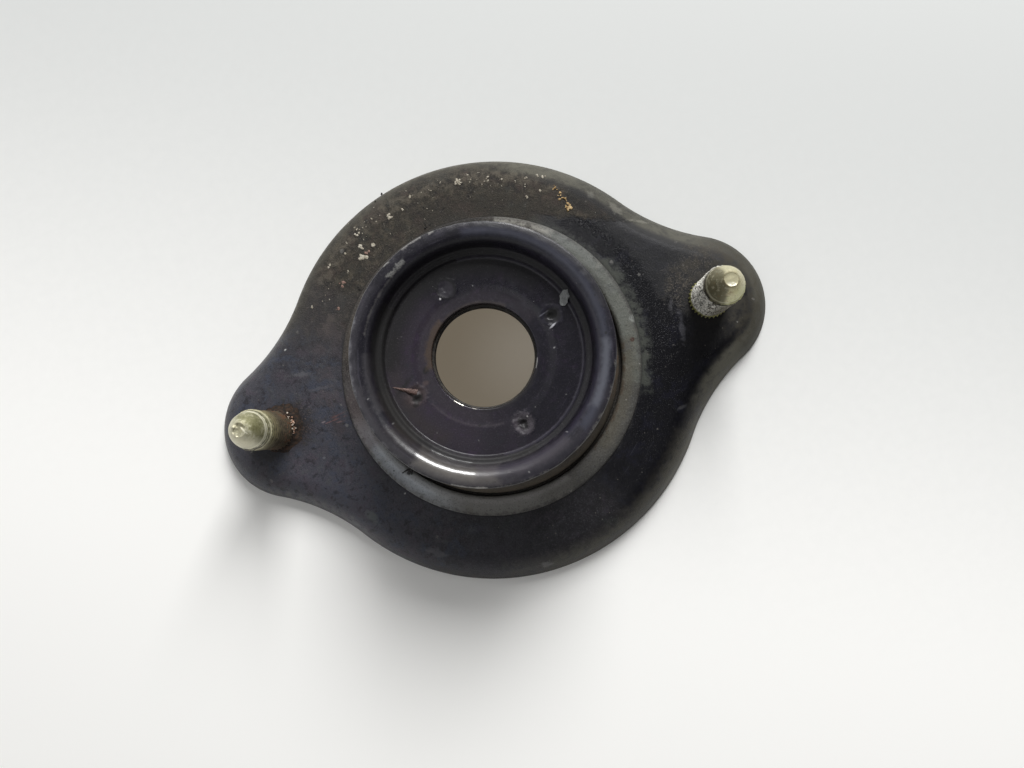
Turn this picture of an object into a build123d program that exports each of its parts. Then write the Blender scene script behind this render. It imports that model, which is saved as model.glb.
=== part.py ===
from build123d import *
from math import cos, radians, sqrt
import os

# Upper bracket of a shock absorber: an oval pressed plate with a turned-down edge,
# a stud in each ear, and a drawn tower bonded into the plate with a ring of rubber.
# Frame: origin on the tower's axis at the plate's lower edge, +Z up along the studs,
# +X from the left stud to the right stud. All lengths are in millimetres.

# Mount plate
plate_height = 7.0  # lower edge to top face
plate_sheet = 2.5  # sheet thickness
body_radius = 55.4  # round body at its lower edge
ear_radius = 18.6  # rounded end of an ear at its lower edge
ear_setback = 2.6  # centre of that end, inwards from the stud
ear_blend = 52.0  # hollow curve between body and ear
edge_draft = 25.0  # lean of the turned-down edge from upright, in degrees
edge_bend = 7.0  # outside radius from top face to edge

# Studs
stud_spacing = 116.0  # left stud to right stud
stud_radius = 4.95  # outside of the thread
stud_length = 24.7  # top face to the tip
stud_nose_length = 6.6  # unthreaded nose
stud_nose_step = 0.45  # step from thread to nose, on the radius
stud_tip_radius = 1.8  # small flat at the tip
stud_collar_radius = 5.3  # pressed into the plate
stud_head_radius = 7.6
stud_head_height = 2.6
stud_head_round = 0.6

# Support tower
tower_sheet = 2.5
tower_shoulder_step = 3.4  # edge of the cup's floor to the tower's shoulder corner
tower_shoulder_bend = 5.0
tower_foot_radius = 32.6  # outside, from the plate's top face down
tower_waist_bend = 3.0
tower_flange_overlap = 4.7  # captive foot, outwards from the plate's opening
tower_flange_lift = 0.3  # lower edge of the plate to the underside of the foot
tower_flange_bend = 1.5
tower_bore_radius = 11.5

# Rubber isolator
rubber_gap = 0.8  # open groove between the tower and the ring
rubber_gap_depth = 1.6  # below the plate's top face
rubber_ring_width = 4.9  # visible ring, from the groove to the plate's opening
rubber_ring_height = 0.7  # outer edge of the ring above the plate's top face
rubber_crown = 0.3  # extra height at the inner lip
rubber_edge_round = 0.4
rubber_lip_round = 0.6
rubber_skirt_inset = 1.2  # rubber's lower edge inside the edge of the foot
rubber_skirt_lean = 0.8  # its upper edge lies further in

# Bushing cup
cup_sheet = 2.0
cup_floor_height = 22.7  # plate's top face to the cup's floor
cup_bore_step = 0.5  # cup's bore is wider than the tower's, on the radius
seat_width = 3.4  # washer seat pressed round the bore
seat_depth = 0.4
cup_floor_radius = 22.6
cup_floor_fillet = 0.7
ledge_width = 1.6  # floor's edge to the foot of the upper wall
ledge_rise = 1.7
ledge_slope = 0.5
ledge_round = 0.5
mouth_run = 1.4  # foot of the upper wall to the corner of the rim
mouth_rise = 6.6  # floor to that corner
rim_bend = 2.2
rim_width = 4.1  # corner to the outer edge of the rim flange
rim_drop = 0.5  # fall of the flange to its edge
rim_edge_round = 0.5

# Spot welds that join cup and tower
weld_count = 4
weld_circle_radius = 17.7
weld_start_angle = 13.5
weld_radius = 2.35
weld_depth = 0.6
weld_draft = 35.0
weld_pip_radius = 0.9
weld_pip_height = 0.35
weld_mark_radius = 2.6  # shallow mark below the tower's top
weld_mark_depth = 0.3

# Places and sizes that follow from the values above
plate_underside = plate_height - plate_sheet
ear_offset = stud_spacing / 2 - ear_setback
edge_wall = plate_sheet / cos(radians(edge_draft))  # sheet measured level
edge_inner_bend = max(edge_bend - plate_sheet, plate_sheet / 3)
opening_radius = tower_foot_radius + rubber_gap + rubber_ring_width
cup_floor = plate_height + cup_floor_height
cup_bore_radius = tower_bore_radius + cup_bore_step
seat_radius = cup_bore_radius + seat_width
tower_top = cup_floor - cup_sheet
tower_ceiling = tower_top - tower_sheet
tower_shoulder_radius = cup_floor_radius + tower_shoulder_step
tower_inner_bend = max(tower_shoulder_bend - tower_sheet, tower_sheet / 3)
tower_foot_inside = tower_foot_radius - tower_sheet
tower_flange_radius = opening_radius + tower_flange_overlap
cone_lean = (tower_foot_radius - tower_shoulder_radius) / (tower_top - plate_height)
cone_wall = tower_sheet * sqrt(1 + cone_lean**2)  # sheet measured level
cone_inside_shoulder = tower_shoulder_radius + cone_lean * tower_sheet - cone_wall
foot_top = tower_flange_lift + tower_sheet
rubber_groove_radius = tower_foot_radius + rubber_gap
rubber_skirt_radius = tower_flange_radius - rubber_skirt_inset
ledge_foot = cup_floor_radius + ledge_width
mouth_radius = ledge_foot + mouth_run
mouth_lean = mouth_run / (mouth_rise - ledge_rise)
cup_wall = cup_sheet * sqrt(1 + mouth_lean**2)  # sheet measured level
neck_radius = mouth_radius + cup_wall
cup_mouth = cup_floor + mouth_rise
rim_radius = mouth_radius + rim_width
rim_height = cup_mouth - rim_drop
rim_slope = rim_drop / rim_width
stud_tip = plate_height + stud_length
stud_nose = stud_tip - stud_nose_length
stud_nose_radius = stud_radius - stud_nose_step
stud_nose_curve = 2 * stud_nose_length
stud_head_bottom = plate_underside - stud_head_height


def oval_outline(inset):
    """Return the oval outline, a round body and two ears, drawn in by inset."""
    with BuildSketch() as outline:
        Circle(body_radius - inset)
        with Locations((-ear_offset, 0), (ear_offset, 0)):
            Circle(ear_radius - inset)
        waists = [v for v in outline.vertices() if abs(v.Y) > ear_radius / 4]
        fillet(waists, radius=ear_blend + inset)
    return outline.sketch


def ring_section(corners):
    """Draw a closed section from its (radius, height, rounding) corners."""
    points = [(radius, height) for radius, height, rounding in corners]
    roundings = [rounding for radius, height, rounding in corners]
    FilletPolyline(*points, radius=roundings, close=True)


os.makedirs("parts", exist_ok=True)

# Mount plate: a drafted pan, hollow below, with an opening and two stud holes
with BuildPart() as pan_hollow:
    with BuildSketch(Plane.XY):
        add(oval_outline(edge_wall))
    extrude(amount=plate_underside, taper=edge_draft)
    fillet(pan_hollow.faces().sort_by(Axis.Z)[-1].edges(), radius=edge_inner_bend)

with BuildPart() as mount_plate:
    with BuildSketch(Plane.XY):
        add(oval_outline(0))
    extrude(amount=plate_height, taper=edge_draft)
    fillet(mount_plate.faces().sort_by(Axis.Z)[-1].edges(), radius=edge_bend)
    add(pan_hollow.part, mode=Mode.SUBTRACT)
    with BuildSketch(Plane.XY.offset(plate_height)):
        Circle(opening_radius)
        with Locations((-stud_spacing / 2, 0), (stud_spacing / 2, 0)):
            Circle(stud_collar_radius)
    extrude(amount=-plate_height, mode=Mode.SUBTRACT)

# Support tower: an inverted cup whose foot lies captive below the plate
with BuildPart() as support_tower:
    with BuildSketch(Plane.XZ):
        with BuildLine():
            ring_section(
                [
                    (tower_bore_radius, tower_top, 0),
                    (tower_shoulder_radius, tower_top, tower_shoulder_bend),
                    (tower_foot_radius, plate_height, tower_waist_bend),
                    (tower_foot_radius, foot_top, tower_flange_bend),
                    (tower_flange_radius, foot_top, 0),
                    (tower_flange_radius, tower_flange_lift, 0),
                    (tower_foot_inside, tower_flange_lift, tower_flange_bend + tower_sheet),
                    (tower_foot_radius - cone_wall, plate_height, 0),
                    (cone_inside_shoulder, tower_ceiling, tower_inner_bend),
                    (tower_bore_radius, tower_ceiling, 0),
                ]
            )
        make_face()
    revolve(axis=Axis.Z)
    with BuildSketch(Plane.XY.offset(tower_ceiling)):
        with PolarLocations(weld_circle_radius, weld_count, start_angle=weld_start_angle):
            Circle(weld_mark_radius)
    extrude(amount=weld_mark_depth, mode=Mode.SUBTRACT)

# Rubber isolator: fills the opening, stands proud of it and cushions the foot below
with BuildPart() as rubber_isolator:
    with BuildSketch(Plane.XZ):
        with BuildLine():
            ring_section(
                [
                    (tower_foot_radius, foot_top, tower_flange_bend),
                    (rubber_skirt_radius, foot_top, 0),
                    (rubber_skirt_radius - rubber_skirt_lean, plate_underside, 0),
                    (opening_radius, plate_underside, 0),
                    (opening_radius, plate_height + rubber_ring_height, rubber_edge_round),
                    (
                        rubber_groove_radius,
                        plate_height + rubber_ring_height + rubber_crown,
                        rubber_lip_round,
                    ),
                    (rubber_groove_radius, plate_height - rubber_gap_depth, 0),
                    (tower_foot_radius, plate_height - rubber_gap_depth, 0),
                ]
            )
        make_face()
    revolve(axis=Axis.Z)

# Bushing cup: a shallow dish with a stepped wall and a flange rolled outwards
with BuildPart() as bushing_cup:
    with BuildSketch(Plane.XZ):
        with BuildLine():
            ring_section(
                [
                    (cup_bore_radius, cup_floor - seat_depth, 0),
                    (seat_radius, cup_floor - seat_depth, 0),
                    (seat_radius + seat_depth, cup_floor, 0),
                    (cup_floor_radius, cup_floor, cup_floor_fillet),
                    (cup_floor_radius + ledge_slope, cup_floor + ledge_rise - ledge_slope, ledge_round),
                    (ledge_foot, cup_floor + ledge_rise, ledge_round),
                    (mouth_radius, cup_mouth, rim_bend),
                    (rim_radius, rim_height, rim_edge_round),
                    (rim_radius, rim_height - cup_sheet, 0),
                    (neck_radius, cup_mouth - rim_slope * cup_wall - cup_sheet, rim_edge_round),
                    (neck_radius - mouth_lean * (mouth_rise + cup_sheet), tower_top, cup_sheet),
                    (cup_bore_radius, tower_top, 0),
                ]
            )
        make_face()
    revolve(axis=Axis.Z)
    with BuildSketch(Plane.XY.offset(cup_floor)):
        with PolarLocations(weld_circle_radius, weld_count, start_angle=weld_start_angle):
            Circle(weld_radius)
    extrude(amount=-weld_depth, taper=weld_draft, mode=Mode.SUBTRACT)
    with BuildSketch(Plane.XY.offset(cup_floor - weld_depth)):
        with PolarLocations(weld_circle_radius, weld_count, start_angle=weld_start_angle):
            Circle(weld_pip_radius)
    extrude(amount=weld_pip_height, taper=weld_draft)

# Studs: head below the ear, collar pressed into it, bullet nose at the tip
studs = []
for side, stud_name in ((-1, "stud_left"), (1, "stud_right")):
    stud_x = side * stud_spacing / 2
    with BuildPart() as stud:
        with BuildSketch(Plane(origin=(stud_x, 0, 0), x_dir=(1, 0, 0), z_dir=(0, -1, 0))):
            with BuildLine():
                FilletPolyline(
                    (0, stud_tip),
                    (0, stud_head_bottom),
                    (stud_head_radius, stud_head_bottom),
                    (stud_head_radius, plate_underside),
                    (stud_collar_radius, plate_underside),
                    (stud_collar_radius, plate_height),
                    (stud_radius, plate_height),
                    (stud_radius, stud_nose - stud_nose_step),
                    (stud_nose_radius, stud_nose),
                    radius=(0, stud_head_round, 0, 0, 0, 0, 0),
                )
                RadiusArc((stud_nose_radius, stud_nose), (stud_tip_radius, stud_tip), -stud_nose_curve)
                Line((stud_tip_radius, stud_tip), (0, stud_tip))
            make_face()
        revolve(axis=Axis((stud_x, 0, 0), (0, 0, 1)))
    stud.part.label = stud_name
    studs.append(stud.part)

mount_plate.part.label = "mount_plate"
support_tower.part.label = "support_tower"
rubber_isolator.part.label = "rubber_isolator"
bushing_cup.part.label = "bushing_cup"

pieces = [mount_plate.part, support_tower.part, rubber_isolator.part, bushing_cup.part, *studs]
for piece in pieces:
    export_step(piece, f"parts/{piece.label}.step")
    print(piece.label, round(piece.volume), "mm3", piece.bounding_box().size)
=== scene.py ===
import bpy
import bmesh
import math
import random
import numpy as np
from functools import partial
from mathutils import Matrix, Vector, noise


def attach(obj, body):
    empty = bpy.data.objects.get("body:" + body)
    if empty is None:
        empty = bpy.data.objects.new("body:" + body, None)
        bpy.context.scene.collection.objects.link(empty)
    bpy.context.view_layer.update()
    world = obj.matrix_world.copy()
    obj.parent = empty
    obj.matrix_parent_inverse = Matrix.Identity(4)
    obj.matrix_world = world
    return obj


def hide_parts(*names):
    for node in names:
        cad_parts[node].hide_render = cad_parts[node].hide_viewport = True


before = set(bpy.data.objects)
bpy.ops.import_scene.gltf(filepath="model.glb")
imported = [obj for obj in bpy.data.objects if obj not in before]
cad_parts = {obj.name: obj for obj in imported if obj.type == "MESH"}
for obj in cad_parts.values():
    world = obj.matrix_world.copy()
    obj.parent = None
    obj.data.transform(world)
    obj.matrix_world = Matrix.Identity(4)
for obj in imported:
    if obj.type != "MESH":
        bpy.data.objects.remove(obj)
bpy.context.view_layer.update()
mm = 0.001  # shapes below are written in millimetres
print("frame loaded:", ", ".join(sorted(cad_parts)))


# small helpers for meshes

def softNoise(points, size, shift):
    # smooth noise from -1 to 1 at each point; size is the width of one swell in mm
    return np.array([noise.noise(Vector(p) / size + Vector((shift, shift, shift))) for p in points])


def swells(points, layers):
    # several noises added up; each layer is its height, the width of a swell and a shift
    return sum(height * softNoise(points, size, shift) for height, size, shift in layers)


def fade(distance, width):
    # 0 below a distance of 0, and rising to 1 over the width
    return np.clip(distance / width, 0, 1)


def onCircle(degrees, radius):
    turn = math.radians(degrees)
    return radius * math.cos(turn), radius * math.sin(turn)


def turned(x, y, angle):
    return x * math.cos(angle) - y * math.sin(angle), x * math.sin(angle) + y * math.cos(angle)


def roundedPath(corners, closed=True, arcStep=11.0):
    # corners are (across, up, rounding, spacing of points to the next corner), all in mm
    count = len(corners)
    spots = []
    for i, (across, up, rounding, spacing) in enumerate(corners):
        here = np.array((across, up), float)
        inside = closed or 0 < i < count - 1
        if rounding > 0 and inside:
            before = np.array(corners[i - 1][:2], float) - here
            after = np.array(corners[(i + 1) % count][:2], float) - here
            before /= np.linalg.norm(before)
            after /= np.linalg.norm(after)
            half = math.acos(np.clip(before @ after, -1, 1)) / 2
            middle = before + after
            middle /= np.linalg.norm(middle)
            centre = here + middle * rounding / math.sin(half)
            start = here + before * rounding / math.tan(half) - centre
            end = here + after * rounding / math.tan(half) - centre
            turn = math.pi - 2 * half
            steps = max(2, math.ceil(math.degrees(turn) / arcStep))
            share = np.linspace(0, 1, steps + 1)[:, None] * turn
            arc = (np.sin(turn - share) * start + np.sin(share) * end) / math.sin(turn) + centre
            spots.append((list(arc), spacing))
        else:
            spots.append(([here], spacing))
    points = []
    for i, (arc, spacing) in enumerate(spots):
        points.extend(arc)
        if i + 1 < count or closed:
            start, end = arc[-1], spots[(i + 1) % count][0][0]
            steps = max(1, round(np.linalg.norm(end - start) / spacing))
            points.extend(start + (end - start) * k / steps for k in range(1, steps))
    return np.array(points)


def ringOfQuads(rows, columns, closedRows=True):
    # faces of a grid that closes round its columns, and round its rows where they close too
    faces = []
    for i in range(rows if closedRows else rows - 1):
        low, high = i * columns, ((i + 1) % rows) * columns
        for j in range(columns):
            k = (j + 1) % columns
            faces.append((low + j, low + k, high + k, high + j))
    return faces


def closedStack(rings, sides, first=0):
    # faces of a closed body made of rings of points, which are numbered from first
    faces = ringOfQuads(rings, sides, closedRows=False)
    faces += [tuple(reversed(range(sides))), tuple(range((rings - 1) * sides, rings * sides))]
    return [tuple(first + v for v in face) for face in faces]


def addPiece(name, vertices, faces, material, stands=(), crease=32.0, weld=0.0):
    mesh = bpy.data.meshes.new(name)
    mesh.from_pydata([tuple(v) for v in np.asarray(vertices) * mm], [], faces)
    work = bmesh.new()
    work.from_mesh(mesh)
    if weld:
        bmesh.ops.remove_doubles(work, verts=work.verts, dist=weld * mm)
    bmesh.ops.recalc_face_normals(work, faces=work.faces)
    work.to_mesh(mesh)
    work.free()
    mesh.shade_smooth()
    mesh.set_sharp_from_angle(angle=math.radians(crease))
    mesh.materials.append(material)
    piece = bpy.data.objects.new(name, mesh)
    bpy.context.scene.collection.objects.link(piece)
    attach(piece, "root")
    if stands:
        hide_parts(*stands)
    print("built", name, "with", len(mesh.polygons), "faces")


def lathe(path, columns):
    # sweeps a (radius, height) path round the upright axis
    turns = np.linspace(0, 2 * math.pi, columns, endpoint=False)
    radius, height = path[:, 0][:, None], path[:, 1][:, None]
    grid = np.stack([radius * np.cos(turns), radius * np.sin(turns), height + 0 * turns], axis=-1)
    return grid.reshape(-1, 3), ringOfQuads(len(path), columns)


# small helpers for materials

def screen(red, green, blue):
    # a colour as a screen shows it, 0 to 255, turned into the values that the shader takes
    parts = [c / 255 for c in (red, green, blue)]
    linear = [c / 12.92 if c <= 0.04045 else ((c + 0.055) / 1.055) ** 2.4 for c in parts]
    return (*linear, 1.0)


def feed(tree, socket, value):
    if isinstance(value, bpy.types.NodeSocket):
        tree.links.new(value, socket)
    else:
        socket.default_value = value


def calc(tree, operation, *values):
    node = tree.nodes.new("ShaderNodeMath")
    node.operation = operation
    for socket, value in zip(node.inputs, values):
        feed(tree, socket, value)
    return node.outputs[0]


def ramp(tree, value, low, high, outLow=0.0, outHigh=1.0):
    node = tree.nodes.new("ShaderNodeMapRange")
    node.interpolation_type = "SMOOTHSTEP"
    labels = ("Value", "From Min", "From Max", "To Min", "To Max")
    for label, item in zip(labels, (value, low, high, outLow, outHigh)):
        feed(tree, node.inputs[label], item)
    return node.outputs["Result"]


def mixColour(tree, share, first, second):
    node = tree.nodes.new("ShaderNodeMix")
    node.data_type = "RGBA"
    for number, value in ((0, share), (6, first), (7, second)):
        feed(tree, node.inputs[number], value)
    return node.outputs[2]


def mixNumber(tree, share, first, second):
    node = tree.nodes.new("ShaderNodeMix")
    for number, value in ((0, share), (2, first), (3, second)):
        feed(tree, node.inputs[number], value)
    return node.outputs[0]


def noiseAt(tree, vector, scale, detail=3.0, roughness=0.55, distortion=0.0):
    node = tree.nodes.new("ShaderNodeTexNoise")
    feed(tree, node.inputs["Vector"], vector)
    feed(tree, node.inputs["Scale"], scale)
    node.inputs["Detail"].default_value = detail
    node.inputs["Roughness"].default_value = roughness
    node.inputs["Distortion"].default_value = distortion
    return node.outputs["Fac"]


def newGroup(name, inputs, outputs):
    group = bpy.data.node_groups.new(name, "ShaderNodeTree")
    kind = "NodeSocketFloat"
    for label, value in inputs:
        socket = group.interface.new_socket(name=label, in_out="INPUT", socket_type=kind)
        socket.default_value = value
    for label in outputs:
        group.interface.new_socket(name=label, in_out="OUTPUT", socket_type=kind)
    given = group.nodes.new("NodeGroupInput").outputs
    made = group.nodes.new("NodeGroupOutput").inputs
    return group, given, made


def placeGroup(tree, group, values):
    node = tree.nodes.new("ShaderNodeGroup")
    node.node_tree = group
    for label, value in values.items():
        feed(tree, node.inputs[label], value)
    return node.outputs


def positionInMm(tree):
    coordinates = tree.nodes.new("ShaderNodeTexCoord")
    scaled = tree.nodes.new("ShaderNodeVectorMath")
    scaled.operation = "SCALE"
    scaled.inputs["Scale"].default_value = 1000.0
    tree.links.new(coordinates.outputs["Object"], scaled.inputs[0])
    return scaled.outputs[0]


# where a point lies: distance from the tower's axis, turn round it from +X, and x, y, height
placeFinder, _, found = newGroup("placeFinder", [], ["Radius", "Turn", "X", "Y", "Height"])
do = partial(calc, placeFinder)
where = placeFinder.nodes.new("ShaderNodeSeparateXYZ")
placeFinder.links.new(positionInMm(placeFinder), where.inputs[0])
acrossX, acrossY, upright = where.outputs
squares = do("MULTIPLY_ADD", acrossX, acrossX, do("MULTIPLY", acrossY, acrossY))
feed(placeFinder, found["Radius"], do("SQRT", squares))
feed(placeFinder, found["Turn"], do("DEGREES", do("ARCTAN2", acrossY, acrossX)))
feed(placeFinder, found["X"], acrossX)
feed(placeFinder, found["Y"], acrossY)
feed(placeFinder, found["Height"], upright)

# grime at four sizes, each a field round 0.5: blotches, changes of tint, mottling and grit
grimeSizes = [("Blotch", 0.07), ("Tint", 0.21), ("Mottle", 0.45), ("Grit", 2.4)]
grime, given, made = newGroup("grime", grimeSizes, [label for label, _ in grimeSizes])
spot = positionInMm(grime)
feed(grime, made["Blotch"], noiseAt(grime, spot, given["Blotch"], 5.0, 0.62, 0.3))
feed(grime, made["Tint"], noiseAt(grime, spot, given["Tint"], 7.0, 0.7, 0.4))
feed(grime, made["Mottle"], noiseAt(grime, spot, given["Mottle"], 6.0, 0.68, 0.2))
feed(grime, made["Grit"], noiseAt(grime, spot, given["Grit"], 4.0, 0.75))

# a patch along a ring between two radii; Breakup in mm makes its edge ragged
arcPatch, given, made = newGroup(
    "arcPatch",
    [("Radius", 0), ("Turn", 0), ("Middle", 0), ("Half", 20), ("Inner", 0), ("Outer", 1),
     ("Feather", 0.5), ("Breakup", 0)],
    ["Mask"],
)
do = partial(calc, arcPatch)
away = do("ABSOLUTE", do("WRAP", do("SUBTRACT", given["Turn"], given["Middle"]), 180.0, -180.0))
perDegree = do("MULTIPLY", given["Radius"], math.pi / 180)
along = do("MULTIPLY", do("SUBTRACT", given["Half"], away), perDegree)
fromInner = do("SUBTRACT", given["Radius"], given["Inner"])
fromOuter = do("SUBTRACT", given["Outer"], given["Radius"])
nearest = do("MINIMUM", along, do("MINIMUM", fromInner, fromOuter))
depth = do("ADD", nearest, given["Breakup"])
outside = do("MULTIPLY", given["Feather"], -1.0)
feed(arcPatch, made["Mask"], ramp(arcPatch, depth, outside, given["Feather"]))

# an oval dab round a point; Long and Wide are half sizes, Angle is the long way's turn from +X
ovalDab, given, made = newGroup(
    "ovalDab",
    [("X", 0), ("Y", 0), ("Centre X", 0), ("Centre Y", 0), ("Long", 1), ("Wide", 1), ("Angle", 0),
     ("Feather", 0.5), ("Breakup", 0)],
    ["Mask"],
)
do = partial(calc, ovalDab)
offX = do("SUBTRACT", given["X"], given["Centre X"])
offY = do("SUBTRACT", given["Y"], given["Centre Y"])
lean = do("RADIANS", given["Angle"])
c, s = do("COSINE", lean), do("SINE", lean)
lengthways = do("DIVIDE", do("MULTIPLY_ADD", offX, c, do("MULTIPLY", offY, s)), given["Long"])
crossways = do("SUBTRACT", do("MULTIPLY", offY, c), do("MULTIPLY", offX, s))
sideways = do("DIVIDE", crossways, given["Wide"])
reach = do("SQRT", do("MULTIPLY_ADD", lengthways, lengthways, do("MULTIPLY", sideways, sideways)))
depth = do("MULTIPLY_ADD", do("SUBTRACT", 1.0, reach), given["Wide"], given["Breakup"])
outside = do("MULTIPLY", given["Feather"], -1.0)
feed(ovalDab, made["Mask"], ramp(ovalDab, depth, outside, given["Feather"]))

# scattered specks: Amount is the share of cells that hold one, Size is against the cell
specks, given, made = newGroup(
    "specks", [("Cells", 0.5), ("Amount", 0.2), ("Size", 0.25), ("Uneven", 0.5)], ["Mask"]
)
do = partial(calc, specks)
cells = specks.nodes.new("ShaderNodeTexVoronoi")
feed(specks, cells.inputs["Vector"], positionInMm(specks))
feed(specks, cells.inputs["Scale"], given["Cells"])
parts = specks.nodes.new("ShaderNodeSeparateColor")
feed(specks, parts.inputs[0], cells.outputs["Color"])
chosen = do("LESS_THAN", parts.outputs[0], given["Amount"])
reach = do("MULTIPLY", given["Size"], do("MULTIPLY_ADD", parts.outputs[1], 0.9, 0.2))
bitten = do("MULTIPLY_ADD", do("SUBTRACT", given["Uneven"], 0.5), 0.5, cells.outputs["Distance"])
inSpeck = ramp(specks, do("SUBTRACT", reach, bitten), 0.0, 0.05)
feed(specks, made["Mask"], do("MULTIPLY", chosen, inSpeck))

# fine marks that run round the axis, as a turning nut or a cloth leaves them
ringScratches, given, made = newGroup(
    "ringScratches", [("Radius", 0), ("Turn", 0), ("Lines", 3.0), ("Amount", 0.5)], ["Mask"]
)
do = partial(calc, ringScratches)
line = ringScratches.nodes.new("ShaderNodeCombineXYZ")
feed(ringScratches, line.inputs[0], do("MULTIPLY", given["Radius"], given["Lines"]))
feed(ringScratches, line.inputs[1], do("MULTIPLY", given["Turn"], 0.05))
streak = noiseAt(ringScratches, line.outputs[0], 1.0, 3.0, 0.6)
leastStreak = do("SUBTRACT", 0.76, do("MULTIPLY", given["Amount"], 0.2))
feed(ringScratches, made["Mask"], ramp(ringScratches, streak, leastStreak, 0.8))
print("node groups made")


class Finish:
    # one material: layers are laid over the base colour one by one, then close() joins the bump

    def __init__(self, name, colour, rough, metallic=0.0, blotch=0.07, mottle=0.45, grit=2.4):
        self.material = bpy.data.materials.new(name)
        self.material.use_nodes = True
        self.tree = self.material.node_tree
        self.calc = partial(calc, self.tree)
        self.shader = self.tree.nodes["Principled BSDF"]
        self.place = placeGroup(self.tree, placeFinder, {})
        fields = placeGroup(self.tree, grime, {"Blotch": blotch, "Mottle": mottle, "Grit": grit})
        self.blotch, self.tint, self.mottle, self.grit = (fields[label] for label, _ in grimeSizes)
        self.colour = screen(*colour)
        self.rough = rough
        self.metallic = metallic
        self.height = 0.0
        self.edges = {}

    def raggedEdge(self, amount, field):
        # the field turned into a swing of about that many mm, made once for each amount
        if amount == 0:
            return 0.0
        if (amount, field) not in self.edges:
            source = getattr(self, field)
            swing = self.calc("MULTIPLY_ADD", source, amount * 5.0, amount * -2.5)
            self.edges[amount, field] = swing
        return self.edges[amount, field]

    # The masks below take their numbers in these orders, in degrees and mm:
    # arc: middle and half of its turn, inner and outer radius, softness, raggedness
    # ring: inner and outer radius, softness, raggedness
    # dab: x, y, half length, half width, turn of its long way, softness, raggedness
    # spot: turn, radius, half length, half width, lean, softness, raggedness
    # The name of a field at the end says which grime makes the edge ragged.

    def arc(self, middle, half, inner, outer, feather=0.5, ragged=0.5, field="mottle"):
        values = {"Radius": self.place["Radius"], "Turn": self.place["Turn"]}
        values |= {"Middle": float(middle), "Half": float(half)}
        values |= {"Inner": float(inner), "Outer": float(outer)}
        values |= {"Feather": feather, "Breakup": self.raggedEdge(ragged, field)}
        return placeGroup(self.tree, arcPatch, values)["Mask"]

    def ring(self, inner, outer, feather=0.5, ragged=0.5, field="mottle"):
        return self.arc(0, 400, inner, outer, feather, ragged, field)

    def dab(self, x, y, long, wide, angle=0.0, feather=0.4, ragged=0.5, field="mottle"):
        values = {"X": self.place["X"], "Y": self.place["Y"]}
        values |= {"Centre X": float(x), "Centre Y": float(y)}
        values |= {"Long": float(long), "Wide": float(wide), "Angle": float(angle)}
        values |= {"Feather": feather, "Breakup": self.raggedEdge(ragged, field)}
        return placeGroup(self.tree, ovalDab, values)["Mask"]

    def spot(self, turn, radius, long, wide, lean=90.0, feather=0.4, ragged=0.5, field="mottle"):
        # lean 90 lays the dab along the ring and 0 points it outwards
        return self.dab(*onCircle(turn, radius), long, wide, turn + lean, feather, ragged, field)

    def beyond(self, alongX, alongY, start, end, ragged=0.0, field="mottle"):
        # 1 on the far side of a straight line, 0 on the near side
        way = self.calc("MULTIPLY", self.place["Y"], alongY)
        way = self.calc("MULTIPLY_ADD", self.place["X"], alongX, way)
        return self.ramp(self.calc("ADD", way, self.raggedEdge(ragged, field)), start, end)

    def either(self, first, second):
        return self.calc("MAXIMUM", first, second)

    def specks(self, cells, amount, size):
        values = {"Cells": cells, "Amount": amount, "Size": size, "Uneven": self.grit}
        return placeGroup(self.tree, specks, values)["Mask"]

    def scratches(self, lines, amount):
        values = {"Radius": self.place["Radius"], "Turn": self.place["Turn"]}
        values |= {"Lines": lines, "Amount": amount}
        return placeGroup(self.tree, ringScratches, values)["Mask"]

    def times(self, *masks):
        result = masks[0]
        for mask in masks[1:]:
            result = self.calc("MULTIPLY", result, mask)
        return result

    # ramps take low and high, and run from outLow to outHigh between them

    def ramp(self, value, low, high, outLow=0.0, outHigh=1.0):
        return ramp(self.tree, value, low, high, outLow, outHigh)

    def level(self, *ends):
        return self.ramp(self.place["Height"], *ends)

    def blotchy(self, *ends):
        return self.ramp(self.blotch, *ends)

    def tinted(self, *ends):
        return self.ramp(self.tint, *ends)

    def mottled(self, *ends):
        return self.ramp(self.mottle, *ends)

    def gritty(self, *ends):
        return self.ramp(self.grit, *ends)

    def lay(self, masks, colour, share=1.0, rough=None, metallic=None, height=0.0):
        # another colour where the mask is, or where all of several are, with its own
        # roughness, metal and height in mm; share is how far it covers what lies below
        masks = masks if isinstance(masks, tuple) else (masks,)
        part = self.times(*masks) if share == 1.0 else self.times(*masks, share)
        self.colour = mixColour(self.tree, part, self.colour, screen(*colour))
        if rough is not None:
            self.rough = mixNumber(self.tree, part, self.rough, rough)
        if metallic is not None:
            self.metallic = mixNumber(self.tree, part, self.metallic, metallic)
        if height:
            self.height = self.calc("MULTIPLY_ADD", part, height, self.height)

    def relief(self, field, height, mask=None):
        # the field itself as a relief of that many mm
        part = self.times(field, mask) if mask else field
        self.height = self.calc("MULTIPLY_ADD", part, height, self.height)

    def close(self, shaderValues, coat=None):
        feed(self.tree, self.shader.inputs["Base Color"], self.colour)
        feed(self.tree, self.shader.inputs["Roughness"], self.rough)
        feed(self.tree, self.shader.inputs["Metallic"], self.metallic)
        bump = self.tree.nodes.new("ShaderNodeBump")
        bump.inputs["Distance"].default_value = mm
        feed(self.tree, bump.inputs["Height"], self.height)
        self.tree.links.new(bump.outputs[0], self.shader.inputs["Normal"])
        if coat is not None:
            feed(self.tree, self.shader.inputs["Coat Weight"], coat)
        for label, value in shaderValues.items():
            self.shader.inputs[label].default_value = value
        return self.material


# camera

cameraView = {
    "place": (8.297, -21.047, 210.176),  # mm in the part's frame, almost straight above
    "turn": (3.5935, 2.4174, -16.8037),  # degrees
    "lens": 28.125,
    "sensor": 36.0,
}

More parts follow.
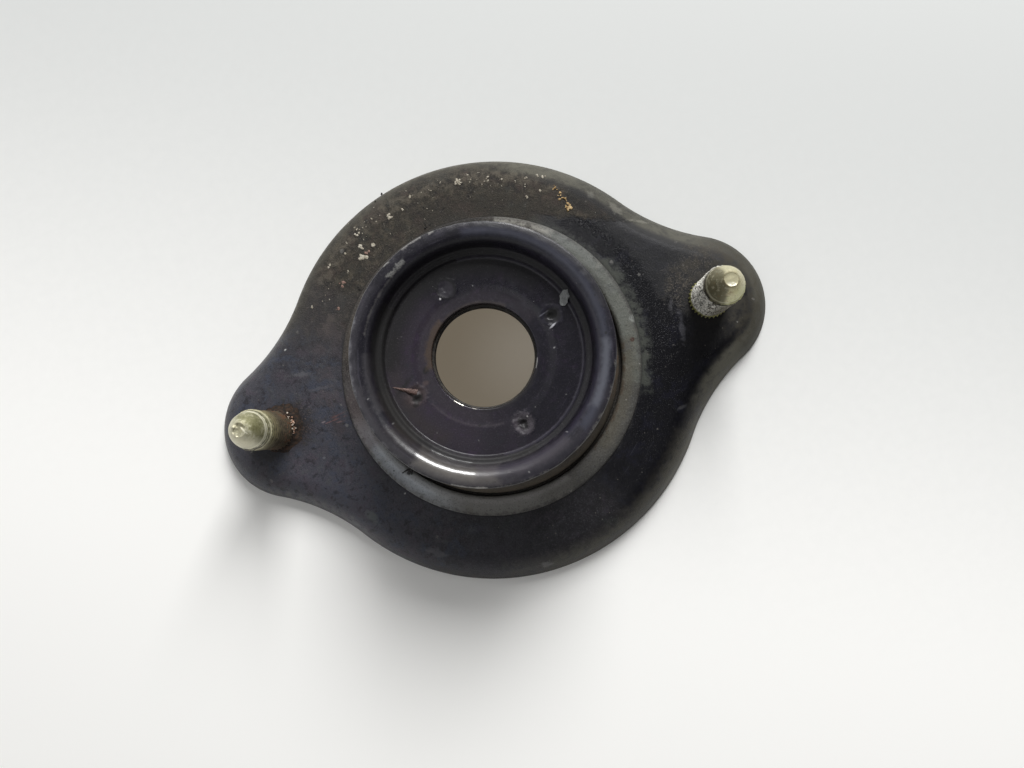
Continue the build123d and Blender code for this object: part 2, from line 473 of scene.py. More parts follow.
lensData = bpy.data.cameras.new("viewCamera")
lensData.lens = cameraView["lens"]
lensData.sensor_width = cameraView["sensor"]
lensData.clip_start = 0.01
viewCamera = bpy.data.objects.new("viewCamera", lensData)
viewCamera.location = Vector(cameraView["place"]) * mm
viewCamera.rotation_euler = [math.radians(a) for a in cameraView["turn"]]
bpy.context.scene.collection.objects.link(viewCamera)
bpy.context.scene.camera = viewCamera
print("camera placed")


# mount plate

plate = {
    "height": 7.0,
    "sheet": 2.5,
    "bodyRadius": 55.4,
    "earRadius": 18.6,
    "earCentre": 55.4,
    "blendRadius": 52.0,
    "draft": 25.0,  # degrees from upright
    "bend": 7.0,
    "innerBend": 4.5,
    "edgeRound": 0.5,
    "opening": 38.3,
    "flatFrom": 9.6,  # the flat top starts this far in from the edge
    "stationSpacing": 0.7,
    "topRows": 16,
    "underRows": 6,
    "wave": 0.06,  # unevenness of the pressed sheet
    "swells": ((0.7, 14.0, 3.1), (0.3, 4.0, 9.2)),  # share, width and shift of each swell in it
    "calmWidth": 4.0,  # it starts this far from the opening and from the lower edge
    "calmHeight": 2.0,
}


def ovalOutline(shape):
    # points round the lower edge, each with its outward direction
    bodyReach = shape["bodyRadius"] + shape["blendRadius"]
    earReach = shape["earRadius"] + shape["blendRadius"]
    blendX = (bodyReach**2 - earReach**2 + shape["earCentre"] ** 2) / (2 * shape["earCentre"])
    blendY = math.sqrt(bodyReach**2 - blendX**2)
    bodyTurn = math.atan2(blendY, blendX)
    earTurn = math.atan2(blendY, blendX - shape["earCentre"])
    # centre, radius, start and end of its turn, and 1 where it bulges outwards
    arcs = [
        (shape["earCentre"], 0, shape["earRadius"], 0, earTurn, 1),
        (blendX, blendY, shape["blendRadius"], math.pi + earTurn, math.pi + bodyTurn, -1),
        (0, 0, shape["bodyRadius"], bodyTurn, math.pi / 2, 1),
    ]
    quarter = []
    for x, y, radius, start, end, side in arcs:
        steps = round(abs(end - start) * radius / shape["stationSpacing"])
        for k in range(steps):
            turn = start + (end - start) * k / steps
            c, s = math.cos(turn), math.sin(turn)
            quarter.append((x + radius * c, y + radius * s, side * c, side * s))
    quarter.append((0, shape["bodyRadius"], 0, 1))
    quarter = np.array(quarter)
    second = quarter[::-1] * (-1, 1, -1, 1)
    third = quarter * -1
    fourth = quarter[::-1] * (1, -1, 1, -1)
    return np.concatenate([quarter[:-1], second[:-1], third[:-1], fourth[:-1]])


def buildPlate(shape, material):
    outline = ovalOutline(shape)
    lean = math.tan(math.radians(shape["draft"]))
    wall = shape["sheet"] / math.cos(math.radians(shape["draft"]))
    under = shape["height"] - shape["sheet"]
    deep = shape["flatFrom"]
    section = roundedPath(
        [
            (deep, shape["height"], 0, 0.8),
            (shape["height"] * lean, shape["height"], shape["bend"], 0.7),
            (0, 0, shape["edgeRound"], 0.8),
            (wall, 0, shape["edgeRound"], 1.2),
            (wall + under * lean, under, shape["innerBend"], 1.2),
            (deep, under, 0, 1.2),
        ],
        closed=False,
        arcStep=6.0,
    )
    deepest = outline[:, :2] - deep * outline[:, 2:]
    opening = deepest / np.linalg.norm(deepest, axis=1)[:, None] * shape["opening"]

    def level(flat, z):
        return np.column_stack([flat, np.full(len(flat), z)])

    across = deepest - opening
    topRows, underRows = shape["topRows"], shape["underRows"]
    rows = [level(opening + across * k / topRows, shape["height"]) for k in range(topRows)]
    rows += [level(outline[:, :2] - inset * outline[:, 2:], z) for inset, z in section]
    rows += [level(deepest - across * k / underRows, under) for k in range(1, underRows + 1)]
    points = np.concatenate(rows)
    radius = np.linalg.norm(points[:, :2], axis=1)
    calm = fade(radius - shape["opening"], shape["calmWidth"])
    calm *= fade(points[:, 2], shape["calmHeight"])
    points[:, 2] -= (1 + swells(points, shape["swells"])) * shape["wave"] * calm
    faces = ringOfQuads(len(rows), len(outline))
    addPiece("plateShell", points, faces, material, ["mount_plate"])


# support tower, rubber ring and cup, turned round the axis

tower = {
    "top": 27.7,
    "sheet": 2.5,
    "bore": 11.5,
    "shoulder": 26.0,
    "shoulderBend": 5.0,
    "foot": 32.6,
    "waist": 7.0,  # height where the cone meets the upright foot
    "waistBend": 3.0,
    "flange": 43.0,
    "lift": 0.3,
    "columns": 288,
    "swells": ((0.03, 9.0, 7.7),),  # height, width and shift of each swell in its surface
}

rubber = {
    "opening": 38.3,
    "groove": 33.4,
    "grooveFloor": 5.4,
    "outerHeight": 7.65,
    "innerHeight": 8.0,
    "skirt": 41.8,
    "skirtLean": 0.8,
    "columns": 480,
    "unevenness": 0.12,
    "swells": ((0.5, 6.0, 1.3), (0.5, 1.6, 5.9)),
    "crown": 0.16,  # the ring is slightly rounded across
    "crownMiddle": 35.6,
    "crownHalf": 2.6,
    "settle": 0.1,
    "lipFray": ((0.14, 0.9, 2.2),),  # its inner lip is frayed
    "lipWidth": 1.0,
}

cup = {
    "floor": 29.7,
    "sheet": 2.0,
    "bore": 12.0,
    "seat": 15.0,
    "seatDepth": 0.22,
    "seatRun": 1.5,  # the seat rises to the floor over this width
    "floorRadius": 22.6,
    "heel": 23.15,
    "heelRise": 1.35,
    "ledge": 24.5,
    "ledgeRise": 1.55,
    "mouth": 25.65,
    "mouthRise": 6.6,
    "rimBend": 3.0,
    "rim": 29.7,
    "rimDrop": 0.5,
    "columns": 512,
    "weldCircle": 17.7,
    # each weld: turn in degrees, radius, depth, height of its middle, roughness of its edge
    "welds": [
        (14.0, 2.2, 0.16, -0.35, 0.4), (103.0, 2.1, 0.14, -0.1, 0.5),
        (193.5, 2.2, 0.16, 0.30, 0.9), (283.7, 2.3, 0.24, -0.45, 0.9),
    ],
    "weldLip": 0.05,  # the raised edge round each weld
    "pipRadius": 0.95,
    # swells and wear: height, width and shift of each
    "floorSwells": ((0.05, 5.0, 11.0),),
    "rimWorn": 0.10,
    "rimSwells": ((0.08, 7.0, 8.4), (0.07, 1.8, 2.4)),
    "edgeWorn": 0.08,
    "edgeSwells": ((0.10, 4.0, 6.1), (0.02, 0.9, 3.3)),
}


def buildTower(shape, material):
    top, sheet = shape["top"], shape["sheet"]
    lean = (shape["foot"] - shape["shoulder"]) / (top - shape["waist"])
    wall = sheet * math.sqrt(1 + lean**2)
    path = roundedPath(
        [
            (shape["bore"], top, 0.3, 1.0),
            (shape["shoulder"], top, shape["shoulderBend"], 0.8),
            (shape["foot"], shape["waist"], shape["waistBend"], 1.5),
            (shape["foot"], shape["lift"] + sheet, 1.5, 1.5),
            (shape["flange"], shape["lift"] + sheet, 0.3, 1.5),
            (shape["flange"], shape["lift"], 0.3, 1.5),
            (shape["foot"] - sheet, shape["lift"], 1.5 + sheet, 1.5),
            (shape["foot"] - wall, shape["waist"], 0, 1.5),
            (shape["shoulder"] + lean * sheet - wall, top - sheet, 2.5, 1.0),
            (shape["bore"], top - sheet, 0.3, 1.0),
        ]
    )
    points, faces = lathe(path, shape["columns"])
    points[:, 2] += swells(points, shape["swells"])
    addPiece("towerShell", points, faces, material, ["support_tower"])


def buildRubber(shape, material):
    base = tower["lift"] + tower["sheet"]
    under = plate["height"] - plate["sheet"]
    path = roundedPath(
        [
            (tower["foot"], base, 0, 1.2),
            (shape["skirt"], base, 0.3, 1.2),
            (shape["skirt"] - shape["skirtLean"], under, 0, 1.2),
            (shape["opening"], under, 0, 1.2),
            (shape["opening"], shape["outerHeight"], 0.45, 0.35),
            (shape["groove"], shape["innerHeight"], 0.9, 0.45),
            (shape["groove"], shape["grooveFloor"], 0.5, 0.4),
            (tower["foot"], shape["grooveFloor"], 0, 1.2),
        ],
        arcStep=15.0,
    )
    points, faces = lathe(path, shape["columns"])
    proud = fade(points[:, 2] - plate["height"], 0.6)  # 1 on what stands above the plate
    radius = np.linalg.norm(points[:, :2], axis=1)
    offMiddle = (radius - shape["crownMiddle"]) / shape["crownHalf"]
    crown = np.clip(1 - offMiddle**2, 0, 1) * shape["crown"]
    swell = swells(points, shape["swells"]) * shape["unevenness"]
    points[:, 2] += proud * (swell + crown - shape["settle"])
    lip = fade(shape["lipWidth"] - np.abs(radius - shape["groove"]), shape["lipWidth"]) * proud
    points[:, 2] += lip * swells(points, shape["lipFray"])
    addPiece("rubberRing", points, faces, material, ["rubber_isolator"])


def buildCup(shape, material):
    floor, sheet = shape["floor"], shape["sheet"]
    mouthHeight = floor + shape["mouthRise"]
    lean = (shape["mouth"] - shape["ledge"]) / (shape["mouthRise"] - shape["ledgeRise"])
    wall = sheet * math.sqrt(1 + lean**2)
    slope = shape["rimDrop"] / (shape["rim"] - shape["mouth"])
    neck = shape["mouth"] + wall
    path = roundedPath(
        [
            (shape["bore"], floor - shape["seatDepth"], 0.3, 0.5),
            (shape["seat"], floor - shape["seatDepth"], 2.5, 0.25),
            (shape["seat"] + shape["seatRun"], floor, 2.5, 0.2),
            (shape["floorRadius"], floor, 0.5, 0.3),
            (shape["heel"], floor + shape["heelRise"], 0.8, 0.3),
            (shape["ledge"], floor + shape["ledgeRise"], 1.0, 0.3),
            (shape["mouth"], mouthHeight, shape["rimBend"], 0.4),
            (shape["rim"], mouthHeight - shape["rimDrop"], 0.6, 0.4),
            (shape["rim"], mouthHeight - shape["rimDrop"] - sheet, 0.4, 0.6),
            (neck, mouthHeight - slope * wall - sheet, 0.5, 0.8),
            (neck - lean * (shape["mouthRise"] + sheet), floor - sheet, sheet, 1.0),
            (shape["bore"], floor - sheet, 0.3, 1.5),
        ],
        arcStep=9.0,
    )
    points, faces = lathe(path, shape["columns"])
    height, radius = points[:, 2], np.linalg.norm(points[:, :2], axis=1)
    # the welds reach no further than these two radii
    innermost, outermost = shape["bore"] + 1.6, shape["floorRadius"] - 0.8
    onFloor = (np.abs(height - floor) < 0.45) & (radius > innermost) & (radius < outermost)
    for number, (turn, size, deep, middle, rough) in enumerate(shape["welds"]):
        centre = np.array(onCircle(turn, shape["weldCircle"]))
        away = np.linalg.norm(points[:, :2] - centre, axis=1)
        near = onFloor & (away < size * 1.8)
        ragged = softNoise(points[near], 0.8, 4.0 + number)
        d = away[near] * (1 + 0.22 * rough * softNoise(points[near], 1.7, 14.0 + number))
        dish = -deep * fade(size - d, 0.9) ** 1.2
        pip = middle * fade(shape["pipRadius"] - d * (1 + 0.5 * rough * ragged), 0.7)
        lip = shape["weldLip"] * np.exp(-(((d - size - 0.25) / 0.4) ** 2)) * (1 + 0.8 * ragged)
        crumbs = 0.12 * rough * ragged * fade(size + 0.8 - d, 1.2)
        points[near, 2] += dish + pip + lip + crumbs
    onRim = fade(height - mouthHeight + 2.5, 2.5) * fade(radius - 26, 2)
    points[:, 2] -= onRim * (shape["rimWorn"] + swells(points, shape["rimSwells"]))
    atEdge = fade(radius - 29.0, 0.6)
    worn = shape["edgeWorn"] + swells(points, shape["edgeSwells"])
    points[:, :2] *= (1 - atEdge * worn / np.maximum(radius, 1))[:, None]
    inside = fade(shape["floorRadius"] - radius, 4) * fade(radius - shape["bore"], 1.5)
    points[:, 2] += inside * swells(points, shape["floorSwells"])
    addPiece("cupShell", points, faces, material, ["bushing_cup"])


# studs with a rolled thread, a splined collar at the root and a bullet nose

stud = {
    "spacing": 116.0,
    "radius": 4.95,
    "pitch": 1.5,
    "threadDepth": 0.72,
    "tip": 31.7,
    "noseLength": 6.6,
    "noseStep": 0.45,  # chamfer from the thread down to the nose
    "noseRadius": 4.5,
    "tipRadius": 1.65,
    "tipDish": 0.10,
    "noseCurve": 13.2,
    "collarTop": 8.0,
    "collarRadius": 5.25,
    "splines": 32,
    "splineDepth": 0.32,
    "headRadius": 7.6,
    "headHeight": 2.6,
    "neckRadius": 5.4,  # where it passes through the plate
    "columns": 192,
    "rowsPerPitch": 14,
    "roughWidth": 1.2,  # widths of the dents in the worn thread and tip
    "fineWidth": 0.6,
    "threadWear": 0.05,  # how far the dents go in, as a share of the radius
    "fineWear": 0.03,
    "noseWear": 0.016,
    "tipWear": 0.06,
}


def studProfile(shape):
    # rows of radius, height, share of thread and share of splines, from the head to the tip
    plateTop = plate["height"]
    nose = shape["tip"] - shape["noseLength"]
    underside = plateTop - plate["sheet"]
    head = underside - shape["headHeight"]
    wide, neck = shape["headRadius"], shape["neckRadius"]
    plain = [(0.0, head), (wide * 0.6, head), (wide - 0.6, head), (wide - 0.18, head + 0.18)]
    plain += [(wide, head + 0.6), (wide, underside - 0.1), (wide - 0.1, underside)]
    plain += [(neck, underside), (neck, plateTop - 0.2)]
    rows = [(out, up, 0, 0) for out, up in plain]
    collar = np.linspace(plateTop - 0.2, shape["collarTop"] - 0.3, 5)
    rows += [(shape["collarRadius"], z, 0, 1) for z in collar]
    rows.append((shape["radius"] + 0.05, shape["collarTop"], 0, 0.3))
    start, end = shape["collarTop"] + 0.15, nose - shape["noseStep"]
    steps = round((end - start) / shape["pitch"] * shape["rowsPerPitch"])
    for z in np.linspace(start, end, steps):
        threaded = max(0.0, min(1.0, (z - start) / 1.0, (end + 0.2 - z) / 0.4))
        rows.append((shape["radius"] - 0.05 * (1 - threaded), z, threaded, 0))
    # the bullet nose is an arc from the nose's edge to the small flat at the tip
    curve = shape["noseCurve"]
    a = np.array((shape["noseRadius"], nose))
    b = np.array((shape["tipRadius"], shape["tip"]))
    chord = b - a
    length = np.linalg.norm(chord)
    inward = np.array((-chord[1], chord[0])) / length
    centre = (a + b) / 2 + inward * math.sqrt(curve**2 - (length / 2) ** 2)
    first = math.atan2(*(a - centre)[::-1])
    last = math.atan2(*(b - centre)[::-1])
    for turn in np.linspace(first, last, 20):
        rows.append((centre[0] + curve * math.cos(turn), centre[1] + curve * math.sin(turn), 0, 0))
    for share in (0.9, 0.78, 0.6, 0.4, 0.2, 0.0):
        dish = shape["tipDish"] * min(1.0, (1 - share) * 3.2)
        rows.append((shape["tipRadius"] * share, shape["tip"] - dish, 0, 0))
    return np.array(rows, float)


def buildStud(shape, side, name, node, material, seed, battered):
    # side is -1 on the left and 1 on the right; battered is how far the tip is beaten in
    rows = studProfile(shape)
    turns = np.linspace(0, 2 * math.pi, shape["columns"], endpoint=False)
    plain, height, threaded, splined = (rows[:, k][:, None] for k in range(4))
    phase = (height / shape["pitch"] - turns / (2 * math.pi)) % 1.0
    valley = fade(np.abs(phase - 0.5) * 2 - 0.15, 0.7)  # 1 in the valley, 0 on the crest
    tooth = np.abs(((turns * shape["splines"] / (2 * math.pi)) % 1.0) - 0.5) * 2
    radius = plain - threaded * valley * shape["threadDepth"]
    radius -= splined * tooth * shape["splineDepth"]
    grid = np.stack([radius * np.cos(turns), radius * np.sin(turns), height + 0 * turns], axis=-1)
    grid = grid.reshape(-1, 3)
    centre = np.array((side * shape["spacing"] / 2, 0))
    grid[:, :2] += centre
    rough = softNoise(grid, shape["roughWidth"], seed)
    fine = softNoise(grid, shape["fineWidth"], seed + 3)
    atTip = fade(grid[:, 2] - shape["tip"] + 1.6, 1.6)
    grid[:, 2] -= atTip * (shape["tipWear"] + battered * (0.5 + rough + 0.5 * fine))
    nose = fade(grid[:, 2] - shape["tip"] + shape["noseLength"], 1.0)
    flank = fade(grid[:, 2] - plate["height"], 0.8) * (1 - nose)
    dents = shape["threadWear"] * np.abs(rough) + shape["fineWear"] * np.abs(fine)
    worn = (shape["noseWear"] * np.abs(rough) * nose + dents * flank)[:, None]
    grid[:, :2] = centre + (grid[:, :2] - centre) * (1 - worn)
    faces = ringOfQuads(len(rows), shape["columns"], closedRows=False)
    addPiece(name, grid, faces, material, [node], crease=38.0, weld=0.002)


# grit, rust and small leftovers that lie on the part

paleGrit = {
    # clusters are turn round the axis, radius, how many grains, spread and size
    "clusters": [
        (57.6, 50.8, 3, 0.5, 0.5), (59.8, 50.9, 3, 0.5, 0.5), (57.3, 47.0, 2, 0.4, 0.4),
        (61.1, 44.4, 2, 0.3, 0.55), (62.4, 47.5, 2, 0.4, 0.38), (62.7, 49.2, 2, 0.4, 0.38),
        (65.7, 48.0, 2, 0.4, 0.38), (70.2, 48.2, 2, 0.3, 0.35), (74.8, 48.4, 4, 0.6, 0.36),
        (77.1, 50.0, 2, 0.3, 0.32), (80.4, 50.0, 2, 0.3, 0.32), (79.8, 48.4, 2, 0.4, 0.35),
        (83.3, 48.2, 10, 0.9, 0.6), (88.8, 49.4, 2, 0.3, 0.38), (92.5, 48.3, 2, 0.4, 0.38),
        (98.7, 48.8, 3, 0.3, 0.5), (107.5, 47.2, 5, 0.7, 0.8), (112.5, 49.6, 2, 0.3, 0.35),
        (117.5, 49.2, 12, 1.3, 0.35), (122.7, 49.2, 2, 0.3, 0.4), (121.0, 45.8, 3, 0.4, 0.75),
        (117.5, 43.6, 3, 0.5, 0.95), (123.3, 43.8, 6, 0.8, 0.95), (125.4, 47.8, 2, 0.3, 0.4),
        (131.4, 49.6, 3, 0.5, 0.6), (130.0, 44.5, 2, 0.4, 0.4), (145.0, 48.9, 2, 0.3, 0.35),
        (97.8, 41.5, 2, 0.3, 0.3), (103.0, 46.5, 3, 0.8, 0.3), (38.7, 47.4, 1, 0.1, 0.35),
        (95.0, 46.8, 10, 5.0, 0.2), (115.0, 46.0, 14, 5.0, 0.2), (75.0, 46.5, 12, 5.0, 0.2),
        (138.0, 46.0, 6, 3.0, 0.2),
    ],
    "seed": 11,
    "thickness": 0.18,
}

pinkGrit = {
    "clusters": [
        (120.8, 43.5, 3, 0.4, 0.55), (134.0, 44.2, 5, 0.8, 0.6), (143.0, 42.0, 3, 0.6, 0.4),
    ],
    "seed": 17,
    "thickness": 0.16,
}

tanGrit = {
    "clusters": [
        (46.8, 45.5, 12, 0.7, 0.62), (50.5, 47.0, 7, 0.7, 0.5), (53.4, 48.5, 5, 0.6, 0.4),
        (48.6, 46.2, 5, 0.9, 0.4),
    ],
    "seed": 5,
    "thickness": 0.30,
}

darkGrit = {
    "clusters": [
        (132.9, 39.6, 5, 0.7, 0.5), (97.5, 39.8, 5, 0.8, 0.5), (147.9, 53.4, 3, 0.4, 0.5),
        (170.0, 42.4, 2, 0.3, 0.45), (177.0, 40.8, 2, 0.3, 0.45), (106.0, 54.0, 3, 0.6, 0.35),
        (108.0, 53.6, 2, 0.4, 0.35), (98.0, 40.5, 12, 5.0, 0.22), (118.0, 41.0, 10, 3.5, 0.22),
        (78.0, 41.0, 10, 5.0, 0.2), (87.0, 44.0, 14, 8.0, 0.2), (135.0, 43.0, 8, 4.0, 0.22),
    ],
    "seed": 8,
    "thickness": 0.26,
}


def plateTopAt(x, y):
    # height of the plate's upper face, flat inside and falling in the bend
    bend = plate["bend"]
    onEar = abs(x) > 40 and abs(y) < 18
    if onEar:
        inset = plate["earRadius"] - math.hypot(abs(x) - plate["earCentre"], y)
    else:
        inset = plate["bodyRadius"] - math.hypot(x, y)
    tangent = bend * math.tan(math.radians(90 - plate["draft"]) / 2)
    bendStart = plate["height"] * math.tan(math.radians(plate["draft"])) + tangent
    beyond = min(max(bendStart - inset, 0.0), bend * 0.9)
    drop = bend - math.sqrt(bend**2 - beyond**2)
    return plate["height"] - drop - plate["wave"]


def scatterGrains(name, look, material):
    # low irregular grains, each a closed chip sunk a little into the plate
    chance = random.Random(look["seed"])
    vertices, faces = [], []
    for turn, radius, many, spread, size in look["clusters"]:
        x, y = onCircle(turn, radius)
        for _ in range(many):
            gx, gy = x + chance.gauss(0, spread * 0.55), y + chance.gauss(0, spread * 0.55)
            if math.hypot(gx, gy) < rubber["opening"] + 0.6:
                continue
            z = plateTopAt(gx, gy)
            reach = size * chance.uniform(0.35, 1.0)
            stretch, angle = chance.uniform(0.55, 1.0), chance.uniform(0, math.pi)
            tall = min(look["thickness"], reach * 0.7) * chance.uniform(0.6, 1.2)
            sides = chance.randint(6, 9)
            first = len(vertices)
            for share, up in ((1.0, -0.12), (0.95, tall * 0.45), (0.55, tall)):
                for k in range(sides):
                    turn = 2 * math.pi * k / sides
                    r = reach * share * chance.uniform(0.72, 1.1)
                    a, b = turned(r * math.cos(turn), r * stretch * math.sin(turn), angle)
                    vertices.append((gx + a, gy + b, z + up * chance.uniform(0.8, 1.1)))
            faces += closedStack(3, sides, first)
    addPiece(name, vertices, faces, material, crease=40.0)


rustMound = {
    "centre": (-58.0, 0.0),
    "inner": 4.6,
    "reach": 3.4,  # how far the crust spreads over the plate on its widest side
    "rise": 1.3,
    "rings": 30,
    "columns": 170,
    "edgeSwells": ((0.4, 2.6, 5.0), (0.25, 0.9, 6.0)),
    "lumps": ((0.6, 1.1, 3.0), (0.45, 0.5, 8.0)),
    "crystals": 30,
    "crystalSize": (0.12, 0.36),
    "seed": 21,
}


def buildRustMound(shape, material, crystalMaterial):
    # a lumpy crust round the root of the left stud, widest on the side of the cup
    turns = np.linspace(-math.pi, math.pi, shape["columns"], endpoint=False)
    ring = np.stack([np.cos(turns), np.sin(turns), 0 * turns], axis=-1) * shape["inner"]
    towardCup = (0.5 + 0.5 * np.cos(turns - 0.05)) ** 1.6
    side = (0.25 + 0.75 * towardCup) * (1 + swells(ring, shape["edgeSwells"]))
    share = np.linspace(0, 1, shape["rings"])[:, None]
    radius = shape["inner"] + shape["reach"] * side * share
    x = shape["centre"][0] + radius * np.cos(turns)
    y = shape["centre"][1] + radius * np.sin(turns)
    flat = np.stack([x, y, 0 * x], axis=-1).reshape(-1, 3)
    lumps = swells(flat, shape["lumps"]).reshape(x.shape)
    heap = shape["rise"] * side * (1 - share) ** 1.5 * (1 + 0.7 * lumps)
    z = plate["height"] - 0.12 + heap + 0.16 * (1 - share) * (0.5 + lumps)
    top = np.stack([x, y, z], axis=-1).reshape(-1, 3)
    bottom = top.copy()
    bottom[:, 2] = plate["height"] - 0.5
    rows, columns = shape["rings"], shape["columns"]
    faces = ringOfQuads(rows, columns, closedRows=False)
    count = rows * columns
    faces += [tuple(count + v for v in reversed(face)) for face in faces]
    for j in range(columns):
        k = (j + 1) % columns
        faces.append((j, k, count + k, count + j))
        last = (rows - 1) * columns
        faces.append((last + k, last + j, count + last + j, count + last + k))
    points = np.concatenate([top, bottom])
    addPiece("rustMound", points, faces, material, crease=60.0)

    chance = random.Random(shape["seed"])
    vertices, faces = [], []
    for _ in range(shape["crystals"]):
        turn = chance.gauss(-0.02, 0.30)
        out = shape["inner"] + chance.uniform(0.15, 0.5) * shape["reach"] * 0.75
        fall = (1 - (out - shape["inner"]) / shape["reach"]) ** 1.5
        up = plate["height"] + 0.55 + shape["rise"] * 0.9 * fall
        centre = np.array((shape["centre"][0] + out * math.cos(turn), out * math.sin(turn), up))
        size = chance.uniform(*shape["crystalSize"])
        first = len(vertices)
        for direction in ((1, 0, 0), (-1, 0, 0), (0, 1, 0), (0, -1, 0), (0, 0, 1), (0, 0, -1)):
            stretch = [chance.uniform(0.5, 1.3) for _ in range(3)]
            vertices.append(centre + np.array(direction) * size * stretch)
        for a, b in ((0, 2), (2, 1), (1, 3), (3, 0)):
            faces.append((first + a, first + b, first + 4))
            faces.append((first + b, first + a, first + 5))
    addPiece("rustCrystals", vertices, faces, crystalMaterial, crease=20.0)


cupDebris = {
    "chip": {
        "centre": (21.3, 7.3), "long": 1.9, "wide": 1.15, "angle": 62.0,
        "thickness": 0.14, "lean": 1.3, "wallFoot": 21.8, "seed": 3,
    },
    "burr": {"start": (-22.0, -0.8), "end": (-16.9, -3.6), "width": 1.5, "height": 0.7, "seed": 6},
    # the fibre's ends are radius and turn
    "fibre": {
        "start": (35.5, 214.2), "end": (34.3, 217.8), "arch": 1.7, "thickness": 0.26, "lift": 8.2,
    },
}


def buildChip(shape, z, material):
    # a loose flake of paint, curled a little at its ends
    chance = random.Random(shape["seed"])
    sides = 14
    angle = math.radians(shape["angle"])
    outline = []
    for turn in np.linspace(0, 2 * math.pi, sides, endpoint=False):
        a = chance.uniform(0.75, 1.1) * shape["long"] * math.cos(turn)
        b = chance.uniform(0.75, 1.1) * shape["wide"] * math.sin(turn)
        outline.append((a, b))
    vertices = []
    for share, up in ((1.0, -0.15), (1.0, shape["thickness"]), (0.5, shape["thickness"] + 0.05)):
        for a, b in outline:
            x, y = np.array(shape["centre"]) + turned(a * share, b * share, angle)
            # it leans on the foot of the wall
            leaning = min(1.6, shape["lean"] * max(0.0, math.hypot(x, y) - shape["wallFoot"]))
            curl = 0.05 * abs(a * share) if up > 0 else 0
            vertices.append((x, y, z + up + leaning + curl))
    addPiece("paintChip", vertices, closedStack(3, sides), material, crease=45.0)


def buildBurr(shape, z, material):
    # a sliver of weld spatter that tapers away from the weld
    start, end = np.array(shape["start"]), np.array(shape["end"])
    along = (end - start) / np.linalg.norm(end - start)
    side = np.array((-along[1], along[0]))
    chance = random.Random(shape["seed"])
    stations, across = 16, 8
    vertices = []
    for i in range(stations):
        share = i / (stations - 1)
        wide = shape["width"] * (0.06 + 0.94 * share**0.8) * chance.uniform(0.85, 1.15)
        tall = shape["height"] * (0.15 + 0.85 * share) * chance.uniform(0.8, 1.2)
        tall *= 1 - 3.0 * max(0, share - 0.8)  # its thick end slopes down again
        for k in range(across):
            turn = 2 * math.pi * k / across
            p = start + (end - start) * share + side * wide * math.cos(turn) * 0.5
            vertices.append((p[0], p[1], z - 0.05 + tall * max(math.sin(turn), -0.3)))
    faces = closedStack(stations, across)
    addPiece("weldBurr", vertices, faces, material, crease=50.0)


def buildFibre(shape, material):
    # a curled dark fibre caught on the ring's inner lip
    points = []
    for share in np.linspace(0, 1, 15):
        out, turn = (a + (b - a) * share for a, b in zip(shape["start"], shape["end"]))
        x, y = onCircle(turn, out - shape["arch"] * math.sin(math.pi * share))
        points.append(np.array((x, y, shape["lift"] + 0.1 * math.sin(share * 9))))
    sides = 6
    around = np.linspace(0, 2 * math.pi, sides, endpoint=False)
    vertices = []
    for i, p in enumerate(points):
        ahead = points[min(i + 1, len(points) - 1)] - points[max(i - 1, 0)]
        ahead /= np.linalg.norm(ahead)
        across = np.cross(ahead, (0, 0, 1))
        up = np.cross(across, ahead)
        thick = shape["thickness"] * (0.4 + 0.6 * math.sin(math.pi * (i + 0.5) / len(points)))
        vertices += [p + thick * (across * math.cos(t) + up * math.sin(t)) for t in around]
    faces = closedStack(len(points), sides)
    addPiece("caughtFibre", vertices, faces, material, crease=60.0)


# finishes: their colours are as a screen shows them, from 0 to 255

